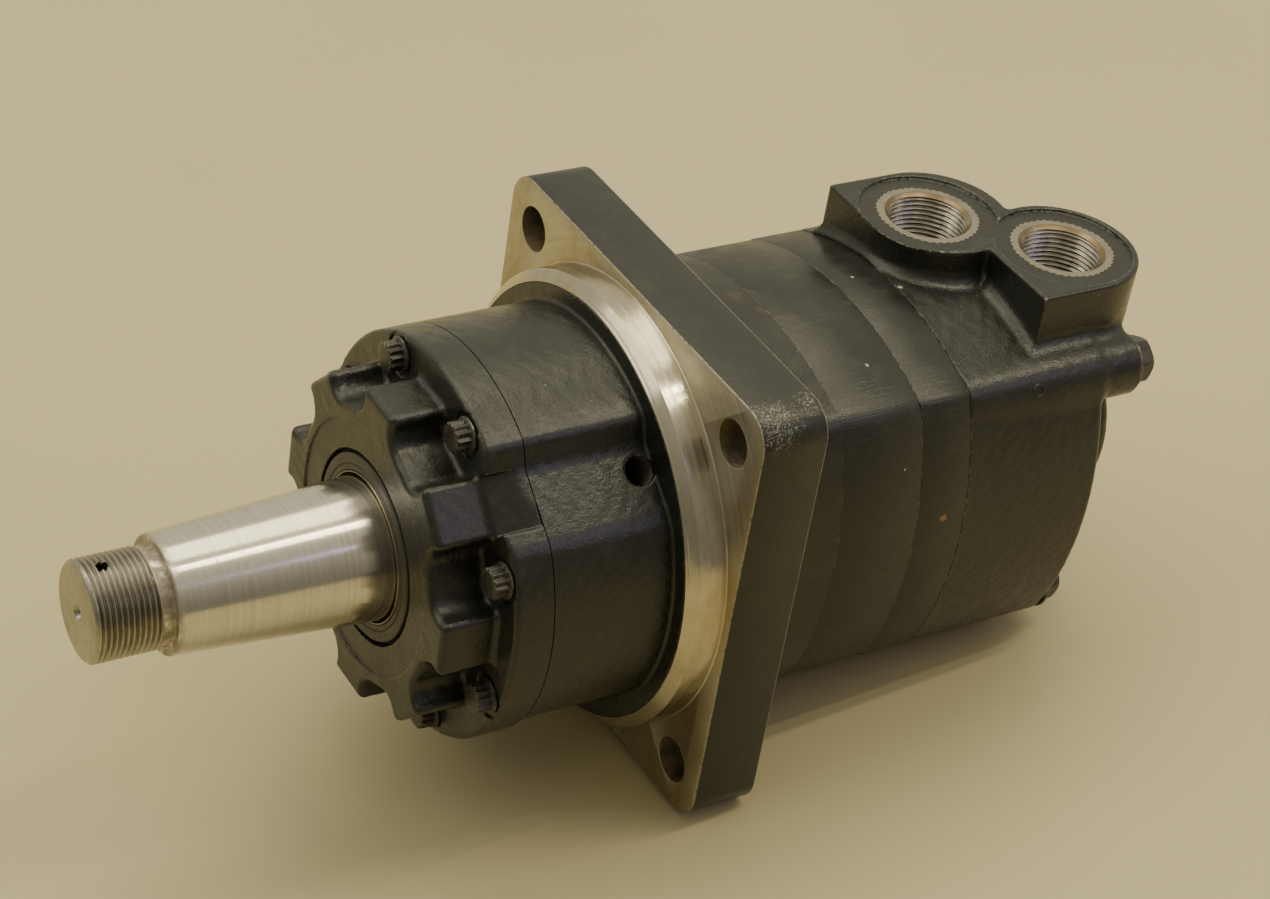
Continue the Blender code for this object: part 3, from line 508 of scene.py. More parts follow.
retainer = grow_skin("retainer_casting", retainer_field, (LOBE_X, -78, -78), (SEAM_X, 78, 78), 0.62)


def ring_side(x, y, z):
    u, v = valley_uv(y, z)
    d = f_max(polar(y, z) - HOUSING_R, np.where(u > 0, valley(y, z), -50.0), 1.3)
    ramp = (u - 66.9 - (x - RING_X) * 0.40) * 0.93
    band = f_min(ramp, -f_max(v - 10.2, -(v + 11.4), 0.0), 0.8)
    return f_max(d, np.where(u > 0, band, -50.0), 0.9) + cast_wave(x + 31.0, y, z)


crisp_end(retainer, SEAM_X - 0.26, ring_side, 0.62)


# ------------------------------------------------------------------ valve housing
def pad(x, y, centre, corner):
    """Round pad with one square corner, towards -X and the given side."""
    dx, dy = x - centre[0], (y - centre[1]) * corner
    box = np.maximum(-dx, dy)
    return np.where((dx < 0) & (dy > 0), box, np.sqrt(dx * dx + dy * dy)) - PAD_R


def valve_field(x, y, z):
    sec = section(y, z)
    body = f_max(sec, x - X4, 3.0)
    boss = np.sqrt((np.abs(y) - BOLT_C) ** 2 + (z - BOLT_C) ** 2) - 12.9 + np.clip((160.0 - x) * 0.075, 0.0, 3.3)
    boss = f_max(boss, x - 199.0, 1.2)
    d = f_min(body, boss, 4.0)
    hump = f_max(polar(y, z) - 43.0, f_max(x - 213.6, 150.0 - x), 4.2)
    d = f_min(d, hump, 5.0)
    a = pad(x, y, (PORT_A[0] + 3.4, PORT_A[1]), 1.0)
    b = pad(x, y, PORT_B, -1.0)
    pa = f_max(a, 30.0 - z, 0.0)
    room = np.maximum(np.sqrt((y + BOLT_C) ** 2 + (z - BOLT_C) ** 2) - 13.2, 198.8 - x)
    pb = np.maximum(f_max(b, 58.0 - z, 0.0), -room)
    col = f_max(np.sqrt((x - PORT_B[0]) ** 2 + (y + 13.0) ** 2) - 24.0, np.abs(z - 45.0) - 30.0, 0.0)
    pads = f_min(pa, f_min(pb, col, 6.0), 3.0)
    pads = f_max(pads, z - RIM_Z, 1.1)
    d = f_min(d + cast_wave(x, y + 17.0, z) * np.clip((x - X3 - 1.0) * 0.4, 0, 1), pads, 5.5)
    d = np.maximum(d, X3 + GAP - x)
    for c in (PORT_A, PORT_B):
        rr = np.sqrt((x - c[0]) ** 2 + (y - c[1]) ** 2)
        spot = np.maximum(rr - SPOT_R, PORT_Z - 0.02 - z)
        d = f_max(d, -spot, 0.35)
        bore = np.maximum(rr - 17.55, 63.9 - z)
        d = np.maximum(d, -bore)
    r = polar(y, z)
    d = np.maximum(d, -np.maximum(r - np.where(x < 145.0, 46.0, 14.0), x - 196.0))
    return np.maximum(d, -bolt_holes(x, y, z, 7.5))


valve = grow_skin("valve_housing_casting", valve_field, (X3, -80, -80), (214.9, 80, RIM_Z), 0.78)
crisp_end(valve, X3 + GAP, lambda x, y, z: section(y, z), 0.78)


# ------------------------------------------------------------------ machined sections of the stack
def roller_pockets():
    """Inside of the roller ring: a round pocket for each roller, joined by arcs."""
    pts, d, pr, inner = [], 50.0, 9.75, 48.4
    b = math.acos((inner * inner - d * d - pr * pr) / (2 * d * pr))
    for k in range(9):
        a = math.pi / 2 + TAU * k / 9
        cy, cz = d * math.cos(a), d * math.sin(a)
        for i in range(25):
            t = a - b + 2 * b * i / 24
            pts.append((cy + pr * math.cos(t), cz + pr * math.sin(t)))
        y0, z0 = pts[-1]
        a0 = math.atan2(z0, y0)
        a1 = a0 + (2 * (a + math.pi / 9) - 2 * a0) % TAU
        for i in range(1, 5):
            t = a0 + (a1 - a0) * i / 5
            pts.append((inner * math.cos(t), inner * math.sin(t)))
    return pts


holes4 = [circle(7.35, 32, sy * BOLT_C, sz * BOLT_C) for sy in (-1, 1) for sz in (-1, 1)]
slots9 = [circle(3.2, 16, 36 * math.cos(math.pi / 2 + math.pi / 9 + TAU * k / 9), 36 * math.sin(math.pi / 2 + math.pi / 9 + TAU * k / 9))
          for k in range(9)]
ring_piece = plate("geroler_ring_body", [section_outline(11.0), roller_pockets()] + holes4, X1 + FINE_GAP, X2 - FINE_GAP, chamfer=0.14)
plate_piece = plate("valve_plate_body", [section_outline(5.5), circle(23.5, 64)] + slots9 + holes4, X2 + FINE_GAP, X3 - GAP, chamfer=0.14)


# ------------------------------------------------------------------ flanged bolts
def bolt_piece(name, y, z, seat, end, shank_r, flange_r, flange_t, head_r, head_h, toward, turn=0.0, points=12):
    """Along X; toward is the side the head looks to. Twelve points, or a plain hexagon for points=6."""
    n, s = 144, toward
    t = np.linspace(0, TAU, n, endpoint=False)
    f = np.abs(((t + turn) / (TAU / points)) % 1.0 - 0.5) * 2.0
    if points == 12:
        # union of two hexagons, with its tips and roots eased
        star = head_r * (0.845 + 0.155 * np.clip((f - 0.14) / 0.72, 0, 1) ** 1.15)
        flat = head_r * 0.90
    else:
        flat = head_r * math.cos(math.pi / 6)
        star = np.minimum(flat / np.cos(f * math.pi / 6), head_r * 0.985)

    def row(x, r):
        r = np.broadcast_to(r, t.shape)
        return np.stack([np.full(n, x), y + r * np.cos(t), z + r * np.sin(t)], 1)

    root = np.maximum(star, flat * 1.05)
    rows = [row(end, shank_r - 0.9), row(end + s * 0.9, shank_r), row(seat, shank_r), row(seat, flange_r - 0.3),
            row(seat + s * 0.3, flange_r), row(seat + s * flange_t * 0.62, flange_r),
            row(seat + s * (flange_t * 0.62 + 0.3), flange_r - 0.35), row(seat + s * flange_t, root + 0.35),
            row(seat + s * (flange_t + 0.35), star)]
    top = seat + s * (0.3 + head_h)
    rows += [row(top - s * 0.95, star), row(top - s * 0.6, np.minimum(star, flat * 1.10)), row(top - s * 0.25, np.minimum(star, flat * 1.03)),
             row(top - s * 0.05, np.minimum(star, flat * 0.975)), row(top, flat * 0.94), row(top, flat * 0.5), row(top, flat * 0.1)]
    v, fcs = rows_solid(rows)
    ob = mesh_object(name, v, fcs, sharp=32)
    fix_normals(ob)
    ob.data.shade_smooth()
    ob.data.set_sharp_from_angle(angle=math.radians(32))
    return ob


retainer_bolts = []
for k in range(8):
    a = math.radians(22.5 + 45 * k)
    retainer_bolts.append(bolt_piece("retainer_screw_%d" % (k + 1), 69 * math.cos(a), 69 * math.sin(a), RING_X + 0.75, -46.3, 3.9, 6.8,
                                     1.5, 5.9, 6.6, -1, turn=0.4 * k))
body_bolts = []
for k, (sy, sz) in enumerate(((-1, 1), (1, 1), (1, -1), (-1, -1))):
    body_bolts.append(bolt_piece("stack_bolt_%d" % (k + 1), sy * BOLT_C, sz * BOLT_C, (199.0 if sz > 0 else X4) + 0.15, 28.2, 7.0,
                                 11.4, 2.2, 9.7, 8.7, 1, turn=0.35 + 0.3 * k, points=6))


# ------------------------------------------------------------------ output shaft
def thread_wave(phase, crest=0.10, root=0.12):
    """0 on the crest, 1 in the root, straight flanks between."""
    f = np.abs(phase % 1.0 - 0.5) * 2.0
    return 1.0 - np.clip((f - root) / (1.0 - crest - root), 0, 1)


taper_x = -98.5
taper_r = 22.2 + (taper_x + 182.8) / 16.0
x_thread = np.arange(SHAFT_END + 1.6, -187.55, PITCH / 10)
shaft_profile = [(44.0, 0.0), (44.0, 35.2), (43.2, 36.0), (20.5, 36.0), (20.5, 30.5), (-63.0, 30.5), (-63.0, 29.0), (-74.0, 29.0),
                 (-74.6, 28.0), (taper_x + 0.8, 28.0), (taper_x + 0.2, 27.9), (taper_x, taper_r)]
shaft_profile += [(x, 22.2 + (x + 182.8) / 16.0) for x in np.linspace(taper_x - 1, -182.2, 60)]
shaft_profile += [(-182.5, 22.05), (-182.8, 21.7), (-182.8, 19.4), (-183.2, 18.75), (-184.0, 18.5), (-185.8, 18.5), (-187.0, 18.6),
                  (-187.4, 18.75)]
shaft_profile += [(x, THREAD_R) for x in x_thread[::-1]]
shaft_profile += [(SHAFT_END + 1.2, 18.95), (SHAFT_END + 0.5, 18.2), (SHAFT_END + 0.12, 17.75), (SHAFT_END, 17.4), (SHAFT_END, 8.0),
                  (SHAFT_END, 3.4), (SHAFT_END + 0.35, 2.95), (SHAFT_END + 3.4, 1.0), (SHAFT_END + 3.4, 0.0)]


def shaft_radius(x, t, r):
    if SHAFT_END + 1.0 < x < -186.9 and r > 18:
        w = thread_wave((x - SHAFT_END) / PITCH + t / TAU)
        lead = min(1.0, max(0.0, (x - SHAFT_END - 0.9) / 1.6))
        run = min(1.0, max(0.0, (-187.2 - x) / 1.0))
        return r - 1.02 * w * min(lead, run) + 0.0 * t
    return np.full(len(t), float(r))


shaft = lathe("shaft_turned", shaft_profile, n=216, closed=False, radius=shaft_radius, sharp=24)


def rod_cutter(centre, direction, r, length, n=48):
    bm = bmesh.new()
    q = Vector((0, 0, 1)).rotation_difference(Vector(direction).normalized()).to_matrix().to_4x4()
    bmesh.ops.create_cone(bm, cap_ends=True, segments=n, radius1=r * MM, radius2=r * MM, depth=length * MM,
                          matrix=Matrix.Translation(Vector(centre) * MM) @ q)
    me = bpy.data.meshes.new("cutter")
    bm.to_mesh(me)
    bm.free()
    ob = bpy.data.objects.new("cutter", me)
    bpy.context.scene.collection.objects.link(ob)
    return ob


def keyway_cutter():
    kd = Vector((0, 0, -1.0))
    outline = []
    for cx, a0 in ((-161.5, math.pi / 2), (-120.5, -math.pi / 2)):
        for i in range(13):
            t = a0 + math.pi * i / 12
            outline.append((cx + 5.55 * math.cos(t), 5.55 * math.sin(t)))
    bm = bmesh.new()
    low = [bm.verts.new((x * MM, y * MM, 19.0 * MM)) for x, y in outline]
    high = [bm.verts.new((x * MM, y * MM, 40.0 * MM)) for x, y in outline]
    n = len(low)
    for i in range(n):
        bm.faces.new((low[i], low[(i + 1) % n], high[(i + 1) % n], high[i]))
    bm.faces.new(low[::-1])
    bm.faces.new(high)
    bmesh.ops.transform(bm, matrix=Matrix.Rotation(math.atan2(-kd.y, kd.z), 4, "X"), verts=bm.verts)
    bmesh.ops.recalc_face_normals(bm, faces=bm.faces)
    me = bpy.data.meshes.new("cutter")
    bm.to_mesh(me)
    bm.free()
    ob = bpy.data.objects.new("cutter", me)
    bpy.context.scene.collection.objects.link(ob)
    return ob


def splined(n, r_in, r_out):
    pts = []
    for i in range(n):
        for f, r in ((-0.36, r_in), (-0.20, r_out), (0.20, r_out), (0.36, r_in)):
            t = (i + f) * TAU / n
            pts.append((r * math.cos(t), r * math.sin(t)))
    return pts


boolean(shaft, plate("cutter", [splined(10, 17.6, 20.2)], -6.0, 17.0))
boolean(shaft, rod_cutter((35.0, 0, 0), (1, 0, 0), 21.6, 38.0, 64))
boolean(shaft, keyway_cutter())
boolean(shaft, rod_cutter((-203.5, 0, 0), (0, 0, 1), 2.3, 60.0, 40))
shaft.data.shade_smooth()
shaft.data.set_sharp_from_angle(angle=math.radians(24))

# ------------------------------------------------------------------ seals in the retainer's bore
dust = lathe("dust_seal_body", rounded([
    (-95.2, 28.35), (-95.2, 37.2), (-98.2, 37.2), (-98.4, 35.7), (-101.0, 35.6), (-101.35, 35.2), (-101.35, 31.75), (-101.0, 31.6),
    (-101.0, 31.4), (-101.35, 31.2), (-101.35, 29.35), (-101.0, 29.0), (-99.3, 28.8), (-98.4, 28.35)],
    [0, 0, 0.3, 0.3, 0.15, 0.15, 0.1, 0.05, 0.05, 0.1, 0.15, 0.15, 0.2, 0.2], steps=2), n=192)


seal_lip = lathe("dust_seal_lip", [(-99.4, 28.3), (-101.3, 28.3), (-101.6, 28.45), (-101.6, 28.8), (-101.3, 28.95), (-99.4, 28.95)],
                 n=192)


# ------------------------------------------------------------------ ports
def internal_thread(name, r_minor, r_outer, top, bottom, chamfer_r, pitch, axis="z", n=128, rows_per=9):
    """Threaded sleeve: threaded inside, plain outside, with a lead-in chamfer at its mouth."""
    zs = np.arange(bottom, top - (chamfer_r - r_minor) * 0.9, pitch / rows_per)
    prof = [(top, r_outer), (top, chamfer_r + 0.15), (top - 0.15, chamfer_r), (zs[-1] + pitch / rows_per, r_minor + 0.1)]
    prof += [(z, r_minor) for z in zs[::-1]]
    prof += [(bottom, r_outer)]
    depth = 0.61 * pitch * 0.75

    def rad(x, t, r):
        if abs(r - r_minor) < 1e-6:
            return r + depth * thread_wave(x / pitch + t / TAU)
        return np.full(len(t), float(r))

    return prof, rad, n


ports = []
for tag, c in (("a", PORT_A), ("b", PORT_B)):
    prof, rad, n = internal_thread("t", 15.7, 17.5, PORT_Z + 0.02, 64.2, 17.15, PITCH)
    ports.append(lathe("port_%s_thread" % tag, prof, n=n, radius=rad, axis="z", centre=(c[0], c[1], 0), sharp=26))
    t = np.linspace(0, TAU, 352, endpoint=False)
    tooth = np.abs((t / TAU * 44) % 1 - 0.5) * 2
    edge = 20.15 + 0.55 * np.clip((tooth - 0.3) / 0.4, 0, 1) + 0.22 * np.sin(3 * t + c[0]) + 0.12 * np.sin(11 * t + c[1])
    rows = [np.stack([c[0] + r * np.cos(t), c[1] + r * np.sin(t), np.full(len(t), z)], 1)
            for r, z in ((17.52, PORT_Z - 0.3), (edge, PORT_Z - 0.3), (edge, PORT_Z + 0.035), (17.52, PORT_Z + 0.035))]
    v, fcs = rows_solid(rows, closed=True)
    ob = mesh_object("port_%s_seal_face" % tag, v, fcs, smooth=False)
    fix_normals(ob)
    ports.append(ob)

prof, rad, n = internal_thread("d", DRAIN_R, 6.65, 0.0, -13.0, 6.2, 25.4 / 20)
drain = lathe("case_drain_thread", prof, n=96, radius=rad, axis="z", sharp=26)
place = Matrix.Translation(Vector((DRAIN_X, -S2 * 70.3, S2 * 70.3)) * MM) @ \
    Vector((0, 0, 1)).rotation_difference(Vector((0, -1, 1)).normalized()).to_matrix().to_4x4()
drain.data.transform(place)

# small raised ring cast on the near upper corner of the valve housing
corner_n = Vector((0, -S2, S2))
start = Vector((148.0, -8.0 * 0 - 3.3, -3.3)) * MM + corner_n * 110 * MM
hit, spot, nor, _ = valve.ray_cast(start, -corner_n)
mark = lathe("cast_mark", rounded([(-0.6, 1.5), (0.35, 1.75), (0.42, 2.2), (0.3, 2.65), (-0.6, 2.9)], [0, 0.3, 0.3, 0.3, 0], steps=3), n=48, sharp=60)
mark.data.transform(Matrix.Translation(spot if hit else start) @ Vector((1, 0, 0)).rotation_difference(nor if hit else corner_n).to_matrix().to_4x4())


# ------------------------------------------------------------------ edge wear, from each mesh's own curvature
def add_wear(ob, passes=2, gain=1.0):
    """Stores how convex the surface is at each vertex, as the attribute 'wear'."""
    me = ob.data
    n = len(me.vertices)
    co = np.empty(n * 3, np.float32)
    me.vertices.foreach_get("co", co)
    co = co.reshape(-1, 3).astype(np.float64)
    no = np.empty(n * 3, np.float32)
    me.vertex_normals.foreach_get("vector", no)
    no = no.reshape(-1, 3).astype(np.float64)
    e = np.empty(len(me.edges) * 2, np.int32)
    me.edges.foreach_get("vertices", e)
    a, b = e.reshape(-1, 2).T
    d = co[b] - co[a]
    ln = np.maximum(np.linalg.norm(d, axis=1), 1e-7)
    ca = -(d * no[a]).sum(1) / ln
    cb = (d * no[b]).sum(1) / ln
    deg = np.bincount(a, minlength=n) + np.bincount(b, minlength=n)
    w = (np.bincount(a, ca, n) + np.bincount(b, cb, n)) / np.maximum(deg, 1)
    for _ in range(passes):
        w = 0.5 * w + 0.5 * (np.bincount(a, w[b], n) + np.bincount(b, w[a], n)) / np.maximum(deg, 1)
    w = w * np.where(np.abs(co[:, 0] / MM - SEAM_X) < 1.4, 0.0, 1.0) * np.where(np.abs(co[:, 0] / MM - X1) < 1.0, 0.7, 1.0)
    at = me.attributes.get("wear") or me.attributes.new("wear", "FLOAT", "POINT")
    at.data.foreach_set("value", (w * gain).astype(np.float32))


def edge_faces(ob, value=0.35):
    """For plates: 'wear' on the small edge faces only, so it doesn't spread over the big ones."""
    me = ob.data
    no = np.empty(len(me.polygons) * 3, np.float32)
    me.polygons.foreach_get("normal", no)
    nx = np.abs(no[0::3])
    at = me.attributes.new("wear", "FLOAT", "FACE")
    at.data.foreach_set("value", np.where((nx > 0.15) & (nx < 0.97), value, 0.0).astype(np.float32))


# ------------------------------------------------------------------ materials
class Nodes:
    """Small helper to write node trees briefly."""

    def __init__(self, name):
        self.m = bpy.data.materials.new(name)
        self.m.use_nodes = True
        self.t = self.m.node_tree
        self.b = self.t.nodes["Principled BSDF"]
        self.tc = self.new("ShaderNodeTexCoord").outputs["Object"]

    def new(self, kind, **props):
        n = self.t.nodes.new(kind)
        for k, v in props.items():
            setattr(n, k, v)
        return n

    def put(self, node, key, value):
        s = node.inputs[key]
        if isinstance(value, bpy.types.NodeSocket):
            self.t.links.new(value, s)
        else:
            s.default_value = value

    def noise(self, scale, detail=4.0, rough=0.5, vec=None, distort=0.0):
        n = self.new("ShaderNodeTexNoise")
        self.put(n, "Vector", vec or self.tc)
        self.put(n, "Scale", scale)
        self.put(n, "Detail", detail)
        self.put(n, "Roughness", rough)
        self.put(n, "Distortion", distort)
        return n.outputs["Fac"]

    def voronoi(self, scale, feature="F1", vec=None):
        n = self.new("ShaderNodeTexVoronoi", feature=feature)
        self.put(n, "Vector", vec or self.tc)
        self.put(n, "Scale", scale)
        return n

    def ramp(self, value, a, b, lo=0.0, hi=1.0, smooth=True):
        n = self.new("ShaderNodeMapRange")
        if smooth:
            n.interpolation_type = "SMOOTHSTEP"
        self.put(n, "Value", value)
        self.put(n, "From Min", a)
        self.put(n, "From Max", b)
        self.put(n, "To Min", lo)
        self.put(n, "To Max", hi)
        return n.outputs["Result"]

    def math(self, op, a, b=0.0, c=None, clamp=False):
        n = self.new("ShaderNodeMath", operation=op, use_clamp=clamp)
        self.put(n, 0, a)
        self.put(n, 1, b)
        if c is not None:
            self.put(n, 2, c)
        return n.outputs[0]

    def mix(self, fac, a, b):
        n = self.new("ShaderNodeMix", data_type="RGBA")
        self.put(n, 0, fac)
        for i, v in ((6, a), (7, b)):
            self.put(n, i, v if isinstance(v, bpy.types.NodeSocket) else (*v, 1.0))
        return n.outputs[2]

    def mapping(self, scale=(1, 1, 1), rot=(0, 0, 0), loc=(0, 0, 0)):
        n = self.new("ShaderNodeMapping")
        self.put(n, "Vector", self.tc)
        self.put(n, "Scale", scale)
        self.put(n, "Rotation", rot)
        self.put(n, "Location", loc)
        return n.outputs[0]

    def radius(self):
        """Distance from the shaft's axis, in metres, and the position's parts."""
        s = self.new("ShaderNodeSeparateXYZ")
        self.put(s, 0, self.tc)
        y, z = s.outputs[1], s.outputs[2]
        r = self.math("SQRT", self.math("ADD", self.math("MULTIPLY", y, y), self.math("MULTIPLY", z, z)))
        return r, s.outputs[0], y, z

    def combine(self, x, y, z):
        n = self.new("ShaderNodeCombineXYZ")
        for i, v in enumerate((x, y, z)):
            self.put(n, i, v)
        return n.outputs[0]

    def bump(self, height, distance, strength=1.0, normal=None):
        n = self.new("ShaderNodeBump")
        self.put(n, "Height", height)
        self.put(n, "Distance", distance)
        self.put(n, "Strength", strength)
        if normal is not None:
            self.put(n, "Normal", normal)
        return n.outputs[0]

    def attr(self, name):
        n = self.new("ShaderNodeAttribute", attribute_name=name)
        return n.outputs["Fac"]

    def done(self, **inputs):
        for k, v in inputs.items():
            self.put(self.b, k.replace("_", " "), v if isinstance(v, (bpy.types.NodeSocket, float, int)) else
                     (*v, 1.0) if len(v) == 3 else v)
        return self.m


def paint(name, cast=1.0, wear=1.0, lines=0.0, rough=0.33, spots=(), pale=(), whole=0.0):
    """Black satin enamel. cast sets the orange peel, lines the diagonal tool marks under the paint,
    spots are (centre in mm, radius in mm, strength) of rust marks and pale ones the same of chipped flecks."""
    k = Nodes(name)
    big = k.noise(14, 3, 0.55)
    mid = k.noise(95, 5, 0.6)
    fine = k.noise(1100, 3, 0.55)
    base = k.mix(k.ramp(big, 0.35, 0.7), (0.0115, 0.0125, 0.0105), (0.0175, 0.0187, 0.0152))
    base = k.mix(k.math("MULTIPLY", k.ramp(mid, 0.5, 0.78), 0.5), base, (0.036, 0.037, 0.028))
    # worn edges: convex places, broken up
    w = k.attr("wear")
    edge = k.ramp(w, 0.10, 0.30)
    broken = k.ramp(k.noise(420, 5, 0.65), 0.44 - whole, 0.66 - whole)
    wr = k.math("MULTIPLY", k.math("MULTIPLY", edge, broken), wear, clamp=True)
    base = k.mix(wr, base, (0.30, 0.275, 0.225))
    # pale specks and dust
    v = k.voronoi(260)
    speck = k.math("MULTIPLY", k.ramp(v.outputs["Distance"], 0.085, 0.045), k.ramp(k.noise(60, 2), 0.55, 0.68))
    cells = k.new("ShaderNodeSeparateColor")
    k.put(cells, 0, v.outputs["Color"])
    speck = k.math("MULTIPLY", speck, k.ramp(cells.outputs[0], 0.80, 0.86))
    base = k.mix(k.math("MULTIPLY", speck, 0.75), base, (0.42, 0.40, 0.33))
    dust = k.math("MULTIPLY", k.ramp(k.noise(700, 4, 0.7), 0.60, 0.80), 0.16)
    base = k.mix(dust, base, (0.25, 0.23, 0.18))
    for marks, tint in ((spots, (0.30, 0.13, 0.04)), (pale, (0.50, 0.47, 0.36))):
        for (cx, cy, cz), rad, strength in marks:
            s = k.new("ShaderNodeVectorMath", operation="DISTANCE")
            k.put(s, 0, k.tc)
            k.put(s, 1, (cx * MM, cy * MM, cz * MM))
            d = k.math("ADD", s.outputs["Value"], k.math("MULTIPLY", k.math("SUBTRACT", k.noise(500, 4, 0.6), 0.5), rad * 1.6 * MM))
            m = k.math("MULTIPLY", k.ramp(d, rad * 1.05 * MM, rad * 0.45 * MM), strength)
            if rad > 5:
                m = k.math("MULTIPLY", m, k.ramp(k.noise(1300, 3, 0.7), 0.50, 0.62))
            base = k.mix(m, base, tint)
    height = k.math("ADD", k.math("MULTIPLY", fine, 0.55 * cast), k.math("MULTIPLY", k.noise(540, 5, 0.62), 0.95 * cast))
    if lines:
        vec = k.mapping(scale=(60, 60, 2600), rot=(math.radians(-24), math.radians(38), 0))
        streak = k.noise(1.0, 3, 0.6, vec=vec)
        height = k.math("ADD", height, k.math("MULTIPLY", streak, lines))
        base = k.mix(k.math("MULTIPLY", k.ramp(streak, 0.60, 0.76), 0.30 * lines), base, (0.12, 0.11, 0.09))
    normal = k.bump(height, 0.00019, 1.0)
    rg = k.math("ADD", k.ramp(mid, 0.3, 0.75, rough - 0.07, rough + 0.10), k.math("MULTIPLY", wr, 0.12))
    return k.done(Base_Color=base, Roughness=rg, Metallic=k.math("MULTIPLY", wr, 0.55), Normal=normal, IOR=1.52, Coat_Weight=0.0)


def turned_steel(name, colour=(0.60, 0.54, 0.43), rough=0.26, lines=1.0, stain=0.5, aniso=0.5, line_scale=5200):
    """Bare lathe-turned steel: fine rings round the shaft's axis, warm oxide and stains."""
    k = Nodes(name)
    r, x, y, z = k.radius()
    coord = k.combine(k.math("MULTIPLY", x, 1.0), k.math("MULTIPLY", r, 1.0), 0.0)
    line = k.noise(line_scale, 2, 0.7, vec=coord)
    wide = k.noise(line_scale * 0.12, 3, 0.6, vec=coord)
    cloud = k.noise(38, 5, 0.62)
    spot = k.noise(240, 5, 0.65)
    base = k.mix(k.ramp(cloud, 0.38, 0.72), colour, tuple(c * f for c, f in zip(colour, (0.82, 0.76, 0.64))))
    base = k.mix(k.math("MULTIPLY", k.ramp(spot, 0.56, 0.78), stain), base, (0.20, 0.14, 0.085))
    rg = k.math("ADD", k.ramp(wide, 0.3, 0.7, rough - 0.05, rough + 0.07), k.math("MULTIPLY", k.ramp(cloud, 0.4, 0.8), 0.10))
    normal = k.bump(k.math("ADD", k.math("MULTIPLY", line, lines), k.math("MULTIPLY", wide, 0.5 * lines)), 0.00001, 0.6)
    tan = k.new("ShaderNodeTangent", direction_type="RADIAL", axis="X")
    k.put(k.b, "Tangent", tan.outputs[0])
    return k.done(Base_Color=base, Roughness=rg, Metallic=1.0, Anisotropic=aniso, Anisotropic_Rotation=0.25, Normal=normal)


def ground_shaft(name):
    """Ground taper: bright, fine rings, a few dull bands and rust towards the thread's relief."""
    k = Nodes(name)
    r, x, y, z = k.radius()
    coord = k.combine(x, r, 0.0)
    line = k.noise(7000, 2, 0.7, vec=coord)
    band = k.noise(420, 4, 0.65, vec=k.combine(x, 0.0, 0.0))
    cloud = k.noise(60, 5, 0.6)
    spot = k.noise(330, 5, 0.7)
    scratch = k.noise(1.0, 2, 0.6, vec=k.mapping(scale=(3800, 160, 160), rot=(0, 0, 0.2)))
    base = k.mix(k.ramp(band, 0.35, 0.7), (0.72, 0.68, 0.60), (0.60, 0.56, 0.48))
    stain = k.math("MULTIPLY", k.ramp(spot, 0.60, 0.80), k.ramp(cloud, 0.42, 0.66))
    base = k.mix(k.math("MULTIPLY", stain, 0.7), base, (0.22, 0.15, 0.09))
    relief = k.math("MULTIPLY", k.ramp(x, -0.1795, -0.1835), k.ramp(x, -0.1880, -0.1868))
    rust = k.math("MULTIPLY", relief, k.ramp(k.noise(260, 4, 0.6), 0.25, 0.6), clamp=True)
    base = k.mix(k.math("MULTIPLY", rust, 0.75), base, (0.17, 0.12, 0.07))
    thread = k.ramp(x, -0.1868, -0.1878)
    grey = k.mix(k.ramp(k.noise(300, 5, 0.65), 0.40, 0.8), (0.41, 0.385, 0.33), (0.29, 0.265, 0.22))
    base = k.mix(thread, base, grey)
    # painted shade: the thread's roots are darkened in colour, standing in for the shade inside the grooves
    root = k.math("MULTIPLY", k.math("MULTIPLY", thread, k.ramp(r, 0.01885, 0.01815)), k.ramp(x, -0.2108, -0.2100))
    base = k.mix(k.math("MULTIPLY", root, 0.5), base, (0.10, 0.086, 0.064))
    rg = k.math("ADD", k.ramp(band, 0.3, 0.7, 0.13, 0.22), k.math("MULTIPLY", thread, 0.16))
    rg = k.math("ADD", rg, k.math("ADD", k.math("MULTIPLY", rust, 0.35), k.math("MULTIPLY", stain, 0.2)))
    h = k.math("ADD", k.math("MULTIPLY", line, 0.7), k.math("ADD", k.math("MULTIPLY", band, 0.15), k.math("MULTIPLY", k.ramp(scratch, 0.62, 0.75), 0.4)))
    normal = k.bump(h, 0.00001, 0.6)
    tan = k.new("ShaderNodeTangent", direction_type="RADIAL", axis="X")
    k.put(k.b, "Tangent", tan.outputs[0])
    return k.done(Base_Color=base, Roughness=rg, Metallic=k.math("SUBTRACT", 1.0, k.math("MULTIPLY", rust, 0.5)), Anisotropic=0.45, Anisotropic_Rotation=0.25, Normal=normal)


def rubber(name, rough=0.42):
    k = Nodes(name)
    n = k.noise(900, 4, 0.6)
    base = k.mix(k.ramp(k.noise(120, 4), 0.4, 0.7), (0.026, 0.026, 0.022), (0.045, 0.043, 0.036))
    return k.done(Base_Color=base, Roughness=k.ramp(n, 0.3, 0.7, rough - 0.1, rough + 0.12), Normal=k.bump(n, 0.00003, 0.5))


def plain_metal(name, colour, rough, scale=2500, dirt=0.3, metallic=1.0):
    k = Nodes(name)
    n = k.noise(scale, 3, 0.6, vec=k.mapping(scale=(1, 0.12, 0.12)))
    c = k.noise(160, 5, 0.65)
    base = k.mix(k.math("MULTIPLY", k.ramp(c, 0.5, 0.8), dirt), colour, tuple(v * f for v, f in zip(colour, (0.45, 0.36, 0.26))))
    return k.done(Base_Color=base, Roughness=k.ramp(c, 0.3, 0.7, rough - 0.06, rough + 0.1), Metallic=metallic,
                  Normal=k.bump(n, 0.00001, 0.5))


